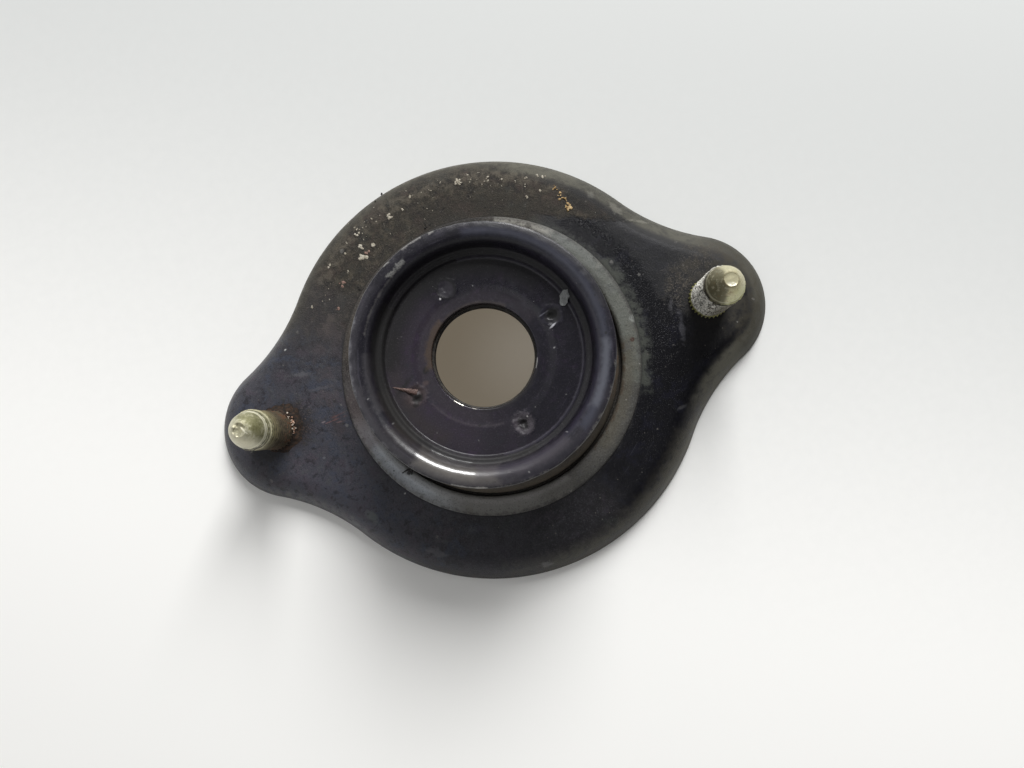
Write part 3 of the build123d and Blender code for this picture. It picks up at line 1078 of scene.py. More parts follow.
plateLook = {
    "paint": (17, 16, 20),
    "gloss": 0.34,  # roughness of the bare paint
    "specular": 0.34,
    "cleanPaint": (9, 9, 14),
    "dust": (51, 47, 40),
    "paleDust": (80, 74, 63),
    "darkDust": (30, 27, 26),
    "edgeDustAndSheen": (98, 95, 84),
    "rootRust": (27, 22, 19),
    "rustSpecks": (84, 56, 36),
    # rubbed, smeared and scratched places, and three painted highlights on the waist's bend:
    # turn, radius, half length, half width, lean, colour, share
    "marks": [
        (212.7, 53.8, 1.7, 0.8, 90, (112, 114, 116), 0.5),
        (215.4, 49.2, 2.2, 1.0, 80, (96, 102, 98), 0.45),
        (236.7, 49.4, 2.2, 1.0, 95, (92, 92, 96), 0.5),
        (268.8, 52.6, 1.1, 0.7, 90, (112, 112, 112), 0.5),
        (192.3, 48.9, 0.3, 0.22, 0, (104, 104, 110), 0.5),
        (219.6, 39.3, 0.2, 0.16, 0, (170, 170, 170), 0.8),
        (354.0, 49.4, 3.0, 0.6, 84, (84, 84, 90), 0.36),
        (1.5, 48.3, 1.6, 0.5, 70, (90, 89, 94), 0.32),
        # painted highlights where the waist's bend catches the light, over light wear
        (34.5, 51.6, 1.8, 1.0, 80, (112, 110, 102), 0.4),
        (42.6, 51.2, 1.0, 0.7, 60, (106, 104, 98), 0.4),
        (27.3, 53.3, 2.2, 0.35, 132, (120, 118, 108), 0.5),
        (166.0, 48.5, 1.6, 0.5, 0, (96, 96, 100), 0.5),
        (182.6, 43.0, 2.2, 0.16, 2, (120, 84, 82), 0.6),
        (181.4, 41.6, 1.2, 0.14, 8, (112, 74, 72), 0.6),
        (183.8, 41.4, 1.0, 0.12, -6, (132, 104, 104), 0.6),
        (182.0, 45.4, 0.5, 0.16, 0, (140, 128, 130), 0.6),
        (184.0, 42.0, 3.0, 1.8, 90, (54, 43, 42), 0.35),
        (158.8, 53.5, 0.34, 0.2, 40, (190, 192, 190), 0.9),
        (171.0, 45.0, 2.6, 0.3, 6, (84, 84, 90), 0.4),
        (201.0, 46.0, 3.0, 0.35, 60, (82, 84, 92), 0.4),
        (150.0, 43.5, 2.4, 0.9, 88, (84, 76, 72), 0.4),
        (330.5, 49.6, 1.2, 0.3, 40, (70, 70, 72), 0.5),
    ],
}


def platePaint(look):
    # old black paint: bluish and glossy where it is clean, brown with road dust on the far side;
    # its lower left is painted paler as light and sheen where the cup's shadow falls
    f = Finish("platePaint", look["paint"], look["gloss"])
    f.lay(f.blotchy(0.40, 0.62), (28, 27, 32), 0.6, 0.42)
    # painted light: the lower left, where the cup's shadow falls, is made paler and bluer
    f.lay(f.arc(200, 34, 38, 80, 8, 1.4, "blotch"), (70, 70, 80), 0.85, 0.42)
    f.lay(f.arc(244, 22, 38, 60, 7, 1.2, "blotch"), (54, 53, 60), 0.6, 0.42)
    f.lay(f.arc(168, 26, 38, 80, 6, 1.4, "blotch"), (50, 49, 55), 0.6, 0.46)
    f.lay(f.arc(301, 12, 38, 60, 6, 1.4, "blotch"), (36, 34, 34), 0.3, 0.44)
    f.lay(f.tinted(0.46, 0.32), (46, 36, 50), 0.42)
    f.lay(f.tinted(0.54, 0.68), (38, 44, 42), 0.42)
    leftPart = f.arc(198, 50, 38, 80, 6, 1.2, "blotch")
    f.lay((leftPart, f.tinted(0.50, 0.40)), (54, 66, 84), 0.34)
    f.lay((leftPart, f.tinted(0.52, 0.62)), (80, 64, 78), 0.28)
    f.lay((leftPart, f.mottled(0.55, 0.66)), (88, 94, 92), 0.35)
    f.lay((leftPart, f.mottled(0.47, 0.38)), (32, 31, 37), 0.45)
    f.lay(f.mottled(0.48, 0.66), (54, 52, 58), 0.42, 0.5)
    f.lay(f.mottled(0.48, 0.34), (14, 13, 16), 0.45, 0.36)
    f.lay(f.gritty(0.52, 0.66), (84, 82, 86), 0.30, 0.6, height=0.03)
    f.lay(f.gritty(0.47, 0.34), (8, 8, 10), 0.5, 0.5, height=-0.03)
    # cleaner and blacker towards the right ear
    clean = f.arc(2, 66, 36, 90, 6, 1.6, "blotch")
    f.lay(clean, look["cleanPaint"], 0.95, 0.27)
    f.lay((clean, f.tinted(0.50, 0.62)), (22, 22, 34), 0.5)
    # road dust over the far side, ending along a line that a neighbouring part left
    farArc = f.arc(104, 48, 36, 62, 5.5, 2.0, "blotch")
    dusty = f.either(farArc, f.beyond(0.384, 1.0, 41.4, 43.2, 0.8))
    f.lay(dusty, look["dust"], 0.92, 0.82, height=0.05)
    f.lay((dusty, f.mottled(0.50, 0.64)), look["paleDust"], 0.7, 0.88)
    f.lay((dusty, f.mottled(0.48, 0.37)), look["darkDust"], 0.7, 0.72)
    f.lay((dusty, f.tinted(0.50, 0.66)), (70, 57, 52), 0.4)
    f.lay((dusty, f.tinted(0.48, 0.34)), (52, 53, 49), 0.5)
    f.lay((dusty, f.gritty(0.53, 0.66)), (96, 91, 83), 0.42, 0.85, height=0.04)
    f.lay((dusty, f.gritty(0.46, 0.36)), (26, 24, 23), 0.5, 0.85, height=-0.04)
    f.lay((f.arc(76, 26, 39, 44.0, 1.6, 0.7), f.mottled(0.4, 0.6)), (34, 32, 29), 0.6, 0.8)
    f.lay((f.arc(97, 44, 47.2, 50.6, 1.0, 0.6), f.mottled(0.42, 0.6)), (92, 86, 76), 0.45, 0.8)
    f.lay(f.arc(148, 10, 40, 52, 3.5, 1.4), (50, 48, 52), 0.5, 0.6)
    f.lay((f.arc(160, 24, 40, 46, 2.5, 1.4), f.tinted(0.46, 0.6)), (70, 63, 64), 0.35, 0.6)
    # dust gathered on the turned-down edge, less of it on the lower side; part of its paleness near
    # the lower rim is painted reflection of the bright surroundings
    worn = f.either(f.arc(62, 92, 40, 90, 6, 0), f.arc(300, 30, 40, 90, 5, 0))
    f.lay((f.level(6.75, 4.6), f.mottled(0.36, 0.60, 0.4, 1.0), worn), (68, 65, 56), 0.7, 0.64)
    f.lay((f.level(5.0, 1.4), f.mottled(0.36, 0.60, 0.3, 1.0), worn), look["edgeDustAndSheen"], 0.6, 0.64)
    # painted light: a paler grey where the cup's shadow falls on the edge
    f.lay((f.level(6.2, 3.0), f.mottled(0.40, 0.62), f.arc(206, 15, 40, 90, 5, 0)), (120, 120, 120),
          0.6, 0.6)
    # painted reflection: paler towards the lower rim all round
    f.lay((f.level(5.2, 1.0), f.mottled(0.40, 0.62)), (86, 84, 76), 0.45, 0.6)
    f.lay((f.level(6.85, 6.2), f.arc(22, 48, 40, 90, 6, 0), f.mottled(0.34, 0.60, 0.25, 1.0)),
          (84, 82, 72), 0.62, 0.72)
    f.lay((f.arc(290, 32, 51.0, 56, 3.5, 0.8), f.mottled(0.36, 0.56, 0.3, 1.0)), (78, 75, 64), 0.4,
          0.6)
    f.lay((f.level(5.5, 3.0), f.arc(270, 36, 40, 90, 5, 0)), (38, 37, 36), 0.5, 0.6)
    f.lay((f.level(6.88, 6.7), f.arc(26, 34, 40, 90, 5, 0)), (42, 41, 40), 0.75, 0.75)
    f.lay((f.level(6.6, 5.9), f.arc(22, 46, 40, 90, 6, 0), f.mottled(0.34, 0.60, 0.4, 1.0)),
          (88, 86, 76), 0.6, 0.75)
    f.lay(f.arc(27, 22, 46.0, 90, 1.5, 0.6), (14, 14, 18), 0.55, 0.66)
    f.lay((f.level(6.5, 5.8), f.arc(24, 44, 40, 90, 6, 0), f.mottled(0.34, 0.60, 0.4, 1.0)),
          (88, 86, 76), 0.55, 0.75)
    # right ear: brown speckled dirt above and beside the stud, bare black below
    f.lay((f.dab(61, 9, 12, 5, 22, 2.6, 1.6), f.mottled(0.4, 0.6, 0.2, 1.0)), (52, 48, 41), 0.75,
          0.75)
    f.lay((f.dab(57, 9.5, 8, 4.4, 22, 2.4, 1.6), f.gritty(0.52, 0.64)), (106, 101, 93), 0.38, 0.8,
          height=0.04)
    f.lay((f.dab(52.5, 3.0, 3.6, 5.0, 20, 2.0, 1.4), f.gritty(0.50, 0.60)), (98, 91, 82), 0.45, 0.8,
          height=0.05)
    f.lay((f.level(6.6, 3.6), f.beyond(1.0, 0.0, 60.0, 66.0)), (46, 44, 34), 0.6, 0.6)
    f.lay(f.dab(59, -7.5, 9, 4.0, 8, 2.0, 0.8), (12, 11, 12), 0.7, 0.45)
    f.lay((f.dab(67, -1, 12, 5.5, 78, 2.5, 1.8), f.mottled(0.38, 0.60, 0.25, 1.0)), (52, 48, 38),
          0.7, 0.7)
    for turn, radius, long, wide, lean, colour, share in look["marks"]:
        soft, ragged = min(0.5, wide * 0.7), min(0.8, wide)
        f.lay(f.spot(turn, radius, long, wide, lean, soft, ragged), colour, share, 0.6)
    # rust and grime creep out from the roots of the studs
    f.lay(f.dab(-54.2, 0.2, 5.4, 5.6, 4, 2.4, 2.0), look["rootRust"], 0.8, 0.82, height=0.05)
    f.lay((f.dab(-52.6, 0.0, 3.4, 4.2, 0, 1.4, 2.0), f.gritty(0.53, 0.62)), look["rustSpecks"], 0.6,
          0.82, height=0.06)
    f.lay((f.dab(-50.0, 1.2, 2.6, 4.2, 0, 1.6, 2.2), f.gritty(0.55, 0.64)), (96, 86, 80), 0.45, 0.8)
    f.lay(f.dab(-60.5, -1.0, 5.6, 6.4, 0, 1.6, 1.0), (26, 25, 23), 0.6, 0.6)
    f.lay(f.dab(57.2, -0.6, 6.4, 6.0, 0, 0.9, 0.6), (20, 18, 17), 0.75, 0.7)
    # dust washed against the ring
    f.lay((f.arc(0, 26, 36.6, 40.2, 1.8, 1.0), f.mottled(0.36, 0.58, 0.2, 1.0)), (66, 69, 62), 0.8,
          0.75)
    f.lay((f.arc(37, 20, 36.6, 39.2, 1.2, 1.0), f.mottled(0.36, 0.58, 0.2, 1.0)), (62, 64, 59), 0.6,
          0.75)
    f.lay((f.ring(38, 38.6, 0.3, 0.4), f.mottled(0.4, 0.6)), (26, 24, 24), 0.5, 0.8)
    f.lay(f.specks(0.35, 0.12, 0.22), (120, 118, 114), 0.45, 0.7)
    f.lay(f.specks(0.9, 0.10, 0.20), (96, 92, 86), 0.5, 0.7)
    f.lay(f.scratches(1.6, 0.5), (70, 70, 76), 0.3, 0.45)
    f.relief(f.mottle, 0.08)
    f.relief(f.grit, 0.07, f.ramp(clean, 1.0, 0.0, 0.12, 1.0))
    f.relief(f.grit, 0.14, dusty)
    return f.close({"Specular IOR Level": look["specular"]})


cupLook = {
    "paint": (21, 19, 28),
    "gloss": 0.26,
    "specular": 0.42,
    "floorPaintAndLight": (43, 36, 46),
    "flangePaint": (25, 24, 31),
    "ridge": (62, 64, 76),
    "streak": (118, 114, 108),
    "streakPolish": 0.09,  # roughness of the clear shine on it
    "boreRust": (62, 47, 33),
    "bareSteel": (206, 202, 192),
    # small spots and chips of dirt: turn, radius, size and grey tone
    "spots": [
        (185, 27.0, 0.2, 120), (201, 25.1, 0.22, 130), (300.5, 25.4, 0.26, 150),
        (275, 27.9, 0.2, 130), (349.8, 16.1, 0.18, 140), (82.5, 16.4, 0.18, 130),
        (61, 20.3, 0.25, 12), (70, 19.9, 0.3, 12), (222, 20.4, 0.18, 100), (250, 19.2, 0.16, 100),
        (150, 19.4, 0.2, 80), (318, 20.6, 0.16, 100),
    ],
}


def cupPaint(look):
    # gloss black with a violet cast, rubbed through along the ridges; some of the light and shade
    # in the cup is painted
    f = Finish("cupPaint", look["paint"], look["gloss"], mottle=0.6, grit=3.0)
    # painted light: the floor is paler on its lower left
    f.lay(f.arc(200, 82, 12, 23, 4.0, 1.2, "blotch"), look["floorPaintAndLight"], 0.8, 0.34)
    f.lay(f.mottled(0.48, 0.66), (43, 38, 52), 0.45, 0.36)
    f.lay(f.tinted(0.54, 0.66), (38, 42, 46), 0.4)
    f.lay(f.tinted(0.46, 0.34), (48, 34, 56), 0.45)
    f.lay(f.arc(190, 40, 19.5, 22.4, 1.8, 0.8), (46, 40, 32), 0.4, 0.5)
    # painted shade: the wall's shadow on the upper part of the floor
    f.lay(f.arc(104, 66, 18.6, 23, 2.4, 1.0), (10, 9, 12), 0.75, 0.36)
    f.lay(f.arc(320, 66, 12, 23, 4.0, 1.2, "blotch"), (13, 12, 20), 0.5, 0.34)
    f.lay(f.arc(140, 120, 12, 15.2, 1.2, 0.4), (50, 45, 50), 0.45, 0.36)
    # painted highlight along the edge of the seat's step
    f.lay(f.arc(238, 32, 15.7, 16.1, 0.3, 0.15), (80, 74, 78), 0.28, 0.36)
    # wall: painted dark all round as shade, browner at the left, with a thin painted highlight at
    # the foot of it
    f.lay(f.arc(0, 92, 22.9, 24.6, 0.5, 0.3), (11, 10, 13), 0.8, 0.55)
    f.lay(f.arc(15, 40, 25.2, 26.2, 0.5, 0.3), (50, 50, 62), 0.5, 0.4)
    f.lay(f.arc(220, 64, 22.7, 24.6, 0.5, 0.3), (15, 13, 12), 0.85, 0.7)
    f.lay(f.arc(120, 52, 20.5, 25.6, 1.2, 0.4), (13, 12, 13), 0.7, 0.5)
    f.lay(f.arc(172, 36, 22.6, 24.9, 0.5, 0.3), (10, 8, 8), 0.85, 0.75)
    f.lay(f.arc(199, 16, 23.2, 25.3, 0.7, 0.4), (30, 24, 18), 0.7, 0.55)
    f.lay(f.arc(357, 92, 22.4, 22.95, 0.3, 0.15), (70, 68, 78), 0.42, 0.36)
    f.lay(f.scratches(3.2, 0.8), (84, 82, 90), 0.22, 0.36)
    f.lay(f.gritty(0.55, 0.68), (88, 84, 90), 0.26, 0.5)
    f.lay(f.gritty(0.45, 0.34), (10, 9, 12), 0.45, 0.45)
    # the flange's paint is smoother than the floor's, with marks running round
    f.lay(f.ring(25.3, 30.4, 0.5, 0.2), look["flangePaint"], 0.6, 0.36)
    f.lay((f.ring(25.6, 30.4, 0.5, 0.2), f.scratches(1.1, 1.3)), (70, 68, 78), 0.5, 0.38)
    f.lay((f.ring(25.6, 30.4, 0.5, 0.2), f.scratches(2.3, 1.0)), (10, 9, 12), 0.6, 0.48)
    f.lay((f.ring(25.6, 30.4, 0.5, 0.2), f.gritty(0.54, 0.66)), (86, 84, 88), 0.25, 0.5)
    f.lay((f.arc(15, 75, 26.4, 30.4, 0.8, 0.2), f.tinted(0.44, 0.58)), (17, 16, 22), 0.7, 0.34)
    f.lay(f.arc(225, 46, 27.4, 29.6, 1.2, 0.4), (70, 67, 70), 0.35, 0.36)
    f.lay(f.arc(300, 30, 27.0, 29.6, 0.9, 0.4), (54, 52, 58), 0.5, 0.38)
    f.lay(f.arc(165, 34, 28.2, 29.6, 0.9, 0.4), (62, 60, 66), 0.5, 0.38)
    # welds: dark pits, a scuffed ring and one brown spatter
    f.lay(f.spot(14.0, 18.1, 2.6, 2.5, 0, 0.35, 0.5), (50, 48, 60), 0.35, 0.4)
    f.lay(f.spot(14.0, 18.1, 2.1, 2.0, 0, 0.3, 0.3), (16, 14, 20), 0.9, 0.4)
    f.lay(f.spot(15.0, 18.2, 1.25, 1.15, 0, 0.3, 0.2), (2, 2, 3), 1.0, 0.85)
    f.lay(f.spot(18.5, 16.4, 1.0, 0.12, 0, 0.12, 0.1), (120, 120, 130), 0.45, 0.4)
    # painted highlight: the bright crescent on the lit side of the first weld's pit
    f.lay(f.spot(7.0, 17.2, 1.0, 0.2, 20, 0.12, 0.1), (190, 190, 196), 0.75, 0.36)
    f.lay(f.spot(103.0, 17.8, 2.6, 2.5, 0, 0.3, 0.3), (12, 11, 15), 0.75, 0.42)
    f.lay(f.spot(103.0, 17.8, 1.9, 1.8, 0, 0.35, 0.3), (42, 39, 47), 0.8, 0.4)
    f.lay(f.spot(110.7, 16.5, 0.26, 0.2, 0, 0.1, 0.08), (196, 194, 196), 0.9, 0.4)
    f.lay(f.spot(283.7, 17.7, 2.5, 2.3, 0, 0.6, 0.6, "grit"), (84, 78, 84), 0.5, 0.6)
    f.lay(f.spot(283.7, 17.8, 1.5, 1.25, 0, 0.35, 0.7, "grit"), (12, 10, 12), 0.9, 0.55)
    f.lay(f.spot(289.0, 16.9, 0.22, 0.16, 0, 0.1, 0.08), (200, 198, 196), 0.85, 0.45)
    f.lay(f.spot(193.5, 17.9, 2.6, 2.2, 20, 0.8, 0.9, "grit"), (62, 50, 48), 0.65, 0.6)
    f.lay(f.spot(195.5, 17.9, 1.2, 0.95, 0, 0.3, 0.3), (9, 8, 8), 0.9, 0.5)
    f.lay(f.spot(184.5, 19.6, 2.2, 0.6, 35, 0.4, 0.4), (10, 9, 9), 0.8, 0.6)
    f.lay(f.spot(177.0, 13.6, 0.9, 0.6, 60, 0.3, 0.3), (12, 10, 11), 0.85, 0.5)
    f.lay(f.spot(188.0, 14.5, 0.7, 0.5, 0, 0.3, 0.3), (78, 64, 62), 0.5, 0.5)
    f.lay(f.spot(199.0, 18.9, 0.8, 0.6, 40, 0.3, 0.3), (14, 12, 12), 0.75, 0.5)
    for turn, radius, size, tone in look["spots"]:
        f.lay(f.spot(turn, radius, size, size * 0.7, 30, 0.1, 0.1), (tone, tone, tone), 0.7, 0.5)
    # the bore's edge: rust on one side, bright steel where a rod rubbed
    f.lay(f.arc(150, 26, 11.0, 13.4, 0.6, 0.5), look["boreRust"], 0.7, 0.75)
    f.lay(f.arc(90, 40, 11.0, 12.6, 0.4, 0.3), (50, 42, 36), 0.5, 0.7)
    f.lay(f.arc(225.5, 5.5, 11.7, 12.3, 0.16, 0.1), look["bareSteel"], 0.9, 0.3, 0.8)
    f.lay(f.arc(243, 2.2, 11.7, 12.2, 0.16, 0.1), (150, 146, 140), 0.7, 0.34, 0.6)
    f.lay(f.arc(335.5, 5.5, 11.8, 12.2, 0.14, 0.1), (160, 158, 156), 0.7, 0.34, 0.5)
    f.lay(f.arc(290, 40, 11.4, 12.7, 0.3, 0.2), (24, 21, 23), 0.6, 0.5)
    # painted shade on the lower part of the wall, round the left
    f.lay(f.arc(180, 44, 23.2, 24.9, 0.4, 0.2), (8, 7, 7), 0.7, 0.8)
    f.lay(f.arc(330, 72, 25.0, 26.3, 0.5, 0.3), (56, 54, 66), 0.45, 0.38)
    f.lay(f.arc(178, 15, 25.1, 26.4, 0.5, 0.3), (62, 60, 62), 0.45, 0.42)
    f.lay(f.arc(45, 34, 28.0, 29.7, 0.8, 0.3), (18, 18, 24), 0.6, 0.42)
    # ridge of the rim, worn and with a painted sheen, and the streak that a neighbouring part
    # polished, painted pale as a highlight
    f.lay(f.arc(15, 68, 26.4, 28.1, 0.8, 0.3), look["ridge"], 0.6, 0.34)
    # painted reflection of the surroundings on the ridge's right side, over wear
    f.lay(f.arc(334, 16, 26.4, 28.0, 0.7, 0.3), (92, 94, 102), 0.6, 0.34)
    f.lay(f.arc(241, 19, 25.4, 28.2, 1.6, 0.3), look["streak"], 0.62, 0.28)
    f.lay(f.arc(275, 24, 25.0, 27.6, 0.9, 0.4), (62, 58, 64), 0.6, 0.36)
    f.lay(f.arc(216, 14, 25.0, 27.0, 1.4, 0.4), (62, 57, 52), 0.35, 0.38)
    # scuffs along the flange, and on its outer edge pale marks that are partly scuffs and partly
    # painted reflection
    f.lay((f.arc(118.5, 5.0, 26.3, 27.3, 0.4, 0.9), f.gritty(0.38, 0.54, 0.3, 1.0)),
          (136, 136, 132), 0.6, 0.5)
    f.lay(f.arc(136, 18, 26.3, 26.5, 0.25, 0.35), (92, 90, 88), 0.45, 0.5)
    f.lay((f.ring(27.6, 29.4, 0.7, 0.6), f.tinted(0.52, 0.66)), (60, 58, 64), 0.25, 0.45)
    f.lay((f.arc(95, 60, 28.6, 30.2, 0.5, 0.5), f.gritty(0.44, 0.60)), (72, 70, 74), 0.3, 0.5)
    f.lay((f.arc(57, 33, 29.3, 30.2, 0.2, 0.2), f.gritty(0.46, 0.60)), (120, 118, 118), 0.35, 0.55)
    f.lay((f.arc(58, 8, 29.2, 30.2, 0.2, 0.2), f.gritty(0.42, 0.56)), (170, 168, 166), 0.4, 0.55)
    for middle, half in ((106, 5), (120.5, 1.6), (96, 1.2)):
        f.lay(f.arc(middle, half, 29.15, 30.2, 0.2, 0.35), (150, 148, 144), 0.5, 0.55)
    f.lay((f.arc(167, 20, 29.1, 30.2, 0.4, 0.3), f.mottled(0.34, 0.62, 0.2, 1.0)), (128, 128, 132),
          0.5, 0.5)
    f.lay((f.arc(205, 24, 29.2, 30.2, 0.25, 0.4), f.mottled(0.46, 0.60)), (104, 104, 106), 0.4, 0.5)
    f.lay(f.arc(248, 8, 29.3, 29.5, 0.14, 0.14), (190, 188, 182), 0.6, 0.36, 0.4)
    f.lay((f.arc(300, 40, 29.2, 30.2, 0.25, 0.2), f.mottled(0.48, 0.60)), (104, 102, 98), 0.5, 0.5)
    f.lay(f.specks(0.9, 0.05, 0.12), (120, 118, 118), 0.5, 0.6)
    f.lay(f.specks(0.55, 0.16, 0.20), (10, 9, 10), 0.6, 0.6)
    f.relief(f.mottle, 0.05)
    f.relief(f.grit, 0.016)
    streaks = f.either(f.arc(235, 15, 25.9, 27.5, 0.4, 0.15), f.arc(236, 11, 24.3, 25.1, 0.3, 0.1))
    polished = f.times(streaks, f.gritty(0.36, 0.5, 0.6, 1.0))
    shine = {"Specular IOR Level": look["specular"], "Coat Roughness": look["streakPolish"]}
    return f.close(shine, coat=polished)


towerLook = {
    "paint": (38, 35, 32),
    "gloss": 0.5,
    "specular": 0.4,
    "dirt": (96, 88, 76),
    "footDirt": (26, 22, 19),
    "rust": (82, 58, 40),
}


def towerPaint(look):
    # black paint going brown, with dirt packed round the foot
    f = Finish("towerPaint", look["paint"], look["gloss"])
    f.lay(f.mottled(0.45, 0.62), (62, 56, 49), 0.6, 0.65)
    f.lay((f.level(17.0, 8.0), f.mottled(0.32, 0.55, 0.5, 1.0)), look["dirt"], 0.75, 0.8,
          height=0.08)
    f.lay((f.arc(338, 12, 28, 34, 3, 0.8), f.mottled(0.46, 0.58)), look["rust"], 0.45, 0.85)
    f.lay(f.level(7.2, 5.6), look["footDirt"], 0.8, 0.85)
    f.lay(f.gritty(0.54, 0.66), look["dirt"], 0.35, 0.8)
    f.lay(f.gritty(0.46, 0.36), (14, 12, 11), 0.5, 0.8)
    f.lay(f.specks(0.7, 0.25, 0.2), (112, 102, 86), 0.45, 0.8)
    f.relief(f.mottle, 0.12)
    f.relief(f.grit, 0.05)
    return f.close({"Specular IOR Level": look["specular"]})


rubberLook = {
    "rubber": (66, 65, 62),
    "gloss": 0.5,
    "specular": 0.4,
    "rubberPaintedLight": (176, 182, 190),
    "dust": (46, 41, 37),
    "grooveDirt": (36, 32, 27),
}


def agedRubber(look):
    # grey rubber buried in dust on the far side; painted light makes it palest along its inner lip
    # on two sides and on the lower left, where the cup's shadow falls
    f = Finish("agedRubber", look["rubber"], look["gloss"], mottle=0.55)
    inner = f.ramp(f.place["Radius"], 38.0, 34.4)
    f.lay(f.mottled(0.44, 0.64), (80, 79, 76), 0.5, 0.6)
    # painted light: paler towards the inner lip and over the lower left, with a painted highlight
    # along the lip
    f.lay((inner, f.arc(275, 50, 33, 39, 6, 0)), (94, 92, 88), 0.75, 0.5)
    f.lay(f.arc(250, 34, 33, 39.4, 5, 0.4), (118, 116, 112), 0.7, 0.5)
    f.lay(f.arc(213, 24, 33, 38.6, 5, 0.4), look["rubberPaintedLight"], 0.9, 0.42)
    f.lay(f.arc(214, 22, 35.1, 35.8, 0.5, 0.3), (206, 210, 216), 0.5, 0.4)
    f.lay(f.arc(252, 22, 33, 37.4, 3, 0.4), (134, 133, 130), 0.6, 0.5)
    f.lay(f.arc(212, 28, 37.2, 38.8, 0.7, 0.4), (112, 112, 112), 0.6, 0.6)
    f.lay(f.arc(10, 34, 33.5, 38.0, 1.8, 0.8), (92, 95, 88), 0.8, 0.5)
    f.lay(f.arc(40, 18, 35.4, 38.2, 1.0, 0.4), (88, 91, 87), 0.7, 0.5)
    f.lay(f.arc(330, 24, 33.2, 36.4, 1.4, 0.6), (74, 70, 58), 0.7, 0.7)
    f.lay(f.tinted(0.54, 0.66), (92, 88, 78), 0.3)
    f.lay(f.tinted(0.46, 0.34), (72, 72, 78), 0.3)
    dusty = f.arc(112, 58, 33.0, 39.2, 2.5, 0.8)
    f.lay(dusty, look["dust"], 0.94, 0.84)
    f.lay((dusty, f.mottled(0.5, 0.64)), (66, 60, 53), 0.6, 0.86)
    f.lay((dusty, f.gritty(0.47, 0.36)), (26, 23, 22), 0.65, 0.85, height=-0.05)
    f.lay(f.arc(90, 13, 35.0, 38.8, 1.4, 0.7), (30, 27, 25), 0.85, 0.8)
    f.lay(f.arc(135, 26, 35.6, 38.8, 1.6, 0.8), (78, 71, 64), 0.5, 0.8)
    # painted highlight on the ring's outer lip
    f.lay((f.arc(60, 12, 36.4, 38.5, 0.6, 0.3), f.mottled(0.4, 0.56, 0.3, 1.0)), (140, 138, 131),
          0.8, 0.7)
    # painted shade on the ring beside the cup's rim
    f.lay(f.arc(32, 16, 33.2, 35.2, 0.7, 0.3), (56, 57, 55), 0.6, 0.6)
    f.lay(f.arc(62, 16, 33.0, 36.0, 0.7, 0.3), (44, 42, 41), 0.65, 0.7)
    # painted highlight along the ring's inner lip
    f.lay(f.arc(242, 46, 33.2, 35.2, 0.7, 0.3), (160, 158, 156), 0.4, 0.5)
    f.lay(f.arc(187, 12, 33.4, 38.8, 2.2, 0.8), (92, 80, 80), 0.65, 0.7)
    f.lay(f.arc(174, 9, 33.4, 38.6, 2.2, 0.8), (56, 50, 52), 0.6, 0.7)
    f.lay(f.dab(38.2, 0.7, 1.2, 0.9, 20, 0.3, 0.25), (136, 139, 134), 0.8, 0.6)
    f.lay(f.dab(36.2, -4.4, 0.5, 0.5, 0, 0.25, 0.2), (58, 34, 24), 0.9, 0.6)
    f.lay(f.spot(216.4, 34.3, 0.6, 0.5, 0, 0.2, 0.2), (18, 17, 18), 0.9, 0.6)
    f.lay((f.arc(328, 24, 33, 34.2, 0.4, 0.3), f.mottled(0.45, 0.55)), (66, 52, 38), 0.6, 0.8)
    f.lay(f.level(7.5, 6.4), look["grooveDirt"], 0.9, 0.85)
    f.lay((f.ring(37.7, 38.9, 0.5, 0.6), f.mottled(0.4, 0.56, 0.3, 1.0)), (40, 38, 37), 0.6, 0.7)
    f.lay(f.gritty(0.53, 0.66), (122, 120, 114), 0.3, 0.7)
    f.lay(f.gritty(0.47, 0.36), (34, 32, 30), 0.45, 0.7)
    f.lay(f.specks(0.7, 0.18, 0.18), (36, 33, 30), 0.6, 0.8)
    f.lay(f.specks(0.5, 0.10, 0.16), (150, 148, 142), 0.5, 0.8)
    f.lay(f.scratches(1.8, 0.6), (46, 45, 44), 0.35, 0.6)
    f.relief(f.mottle, 0.12)
    f.relief(f.grit, 0.05)
    f.relief(f.grit, 0.14, dusty)
    return f.close({"Specular IOR Level": look["specular"]})


studLook = {
    "zinc": (190, 184, 152),
    "gloss": 0.42,
    "metal": 0.55,
    "specular": 0.5,
    "leftOlive": (122, 121, 84),
    "leftRust": (104, 64, 38),
    "rightOlive": (92, 88, 66),
    "rightCrustAndLight": (250, 247, 238),
    "valleyShade": (34, 30, 24),
}


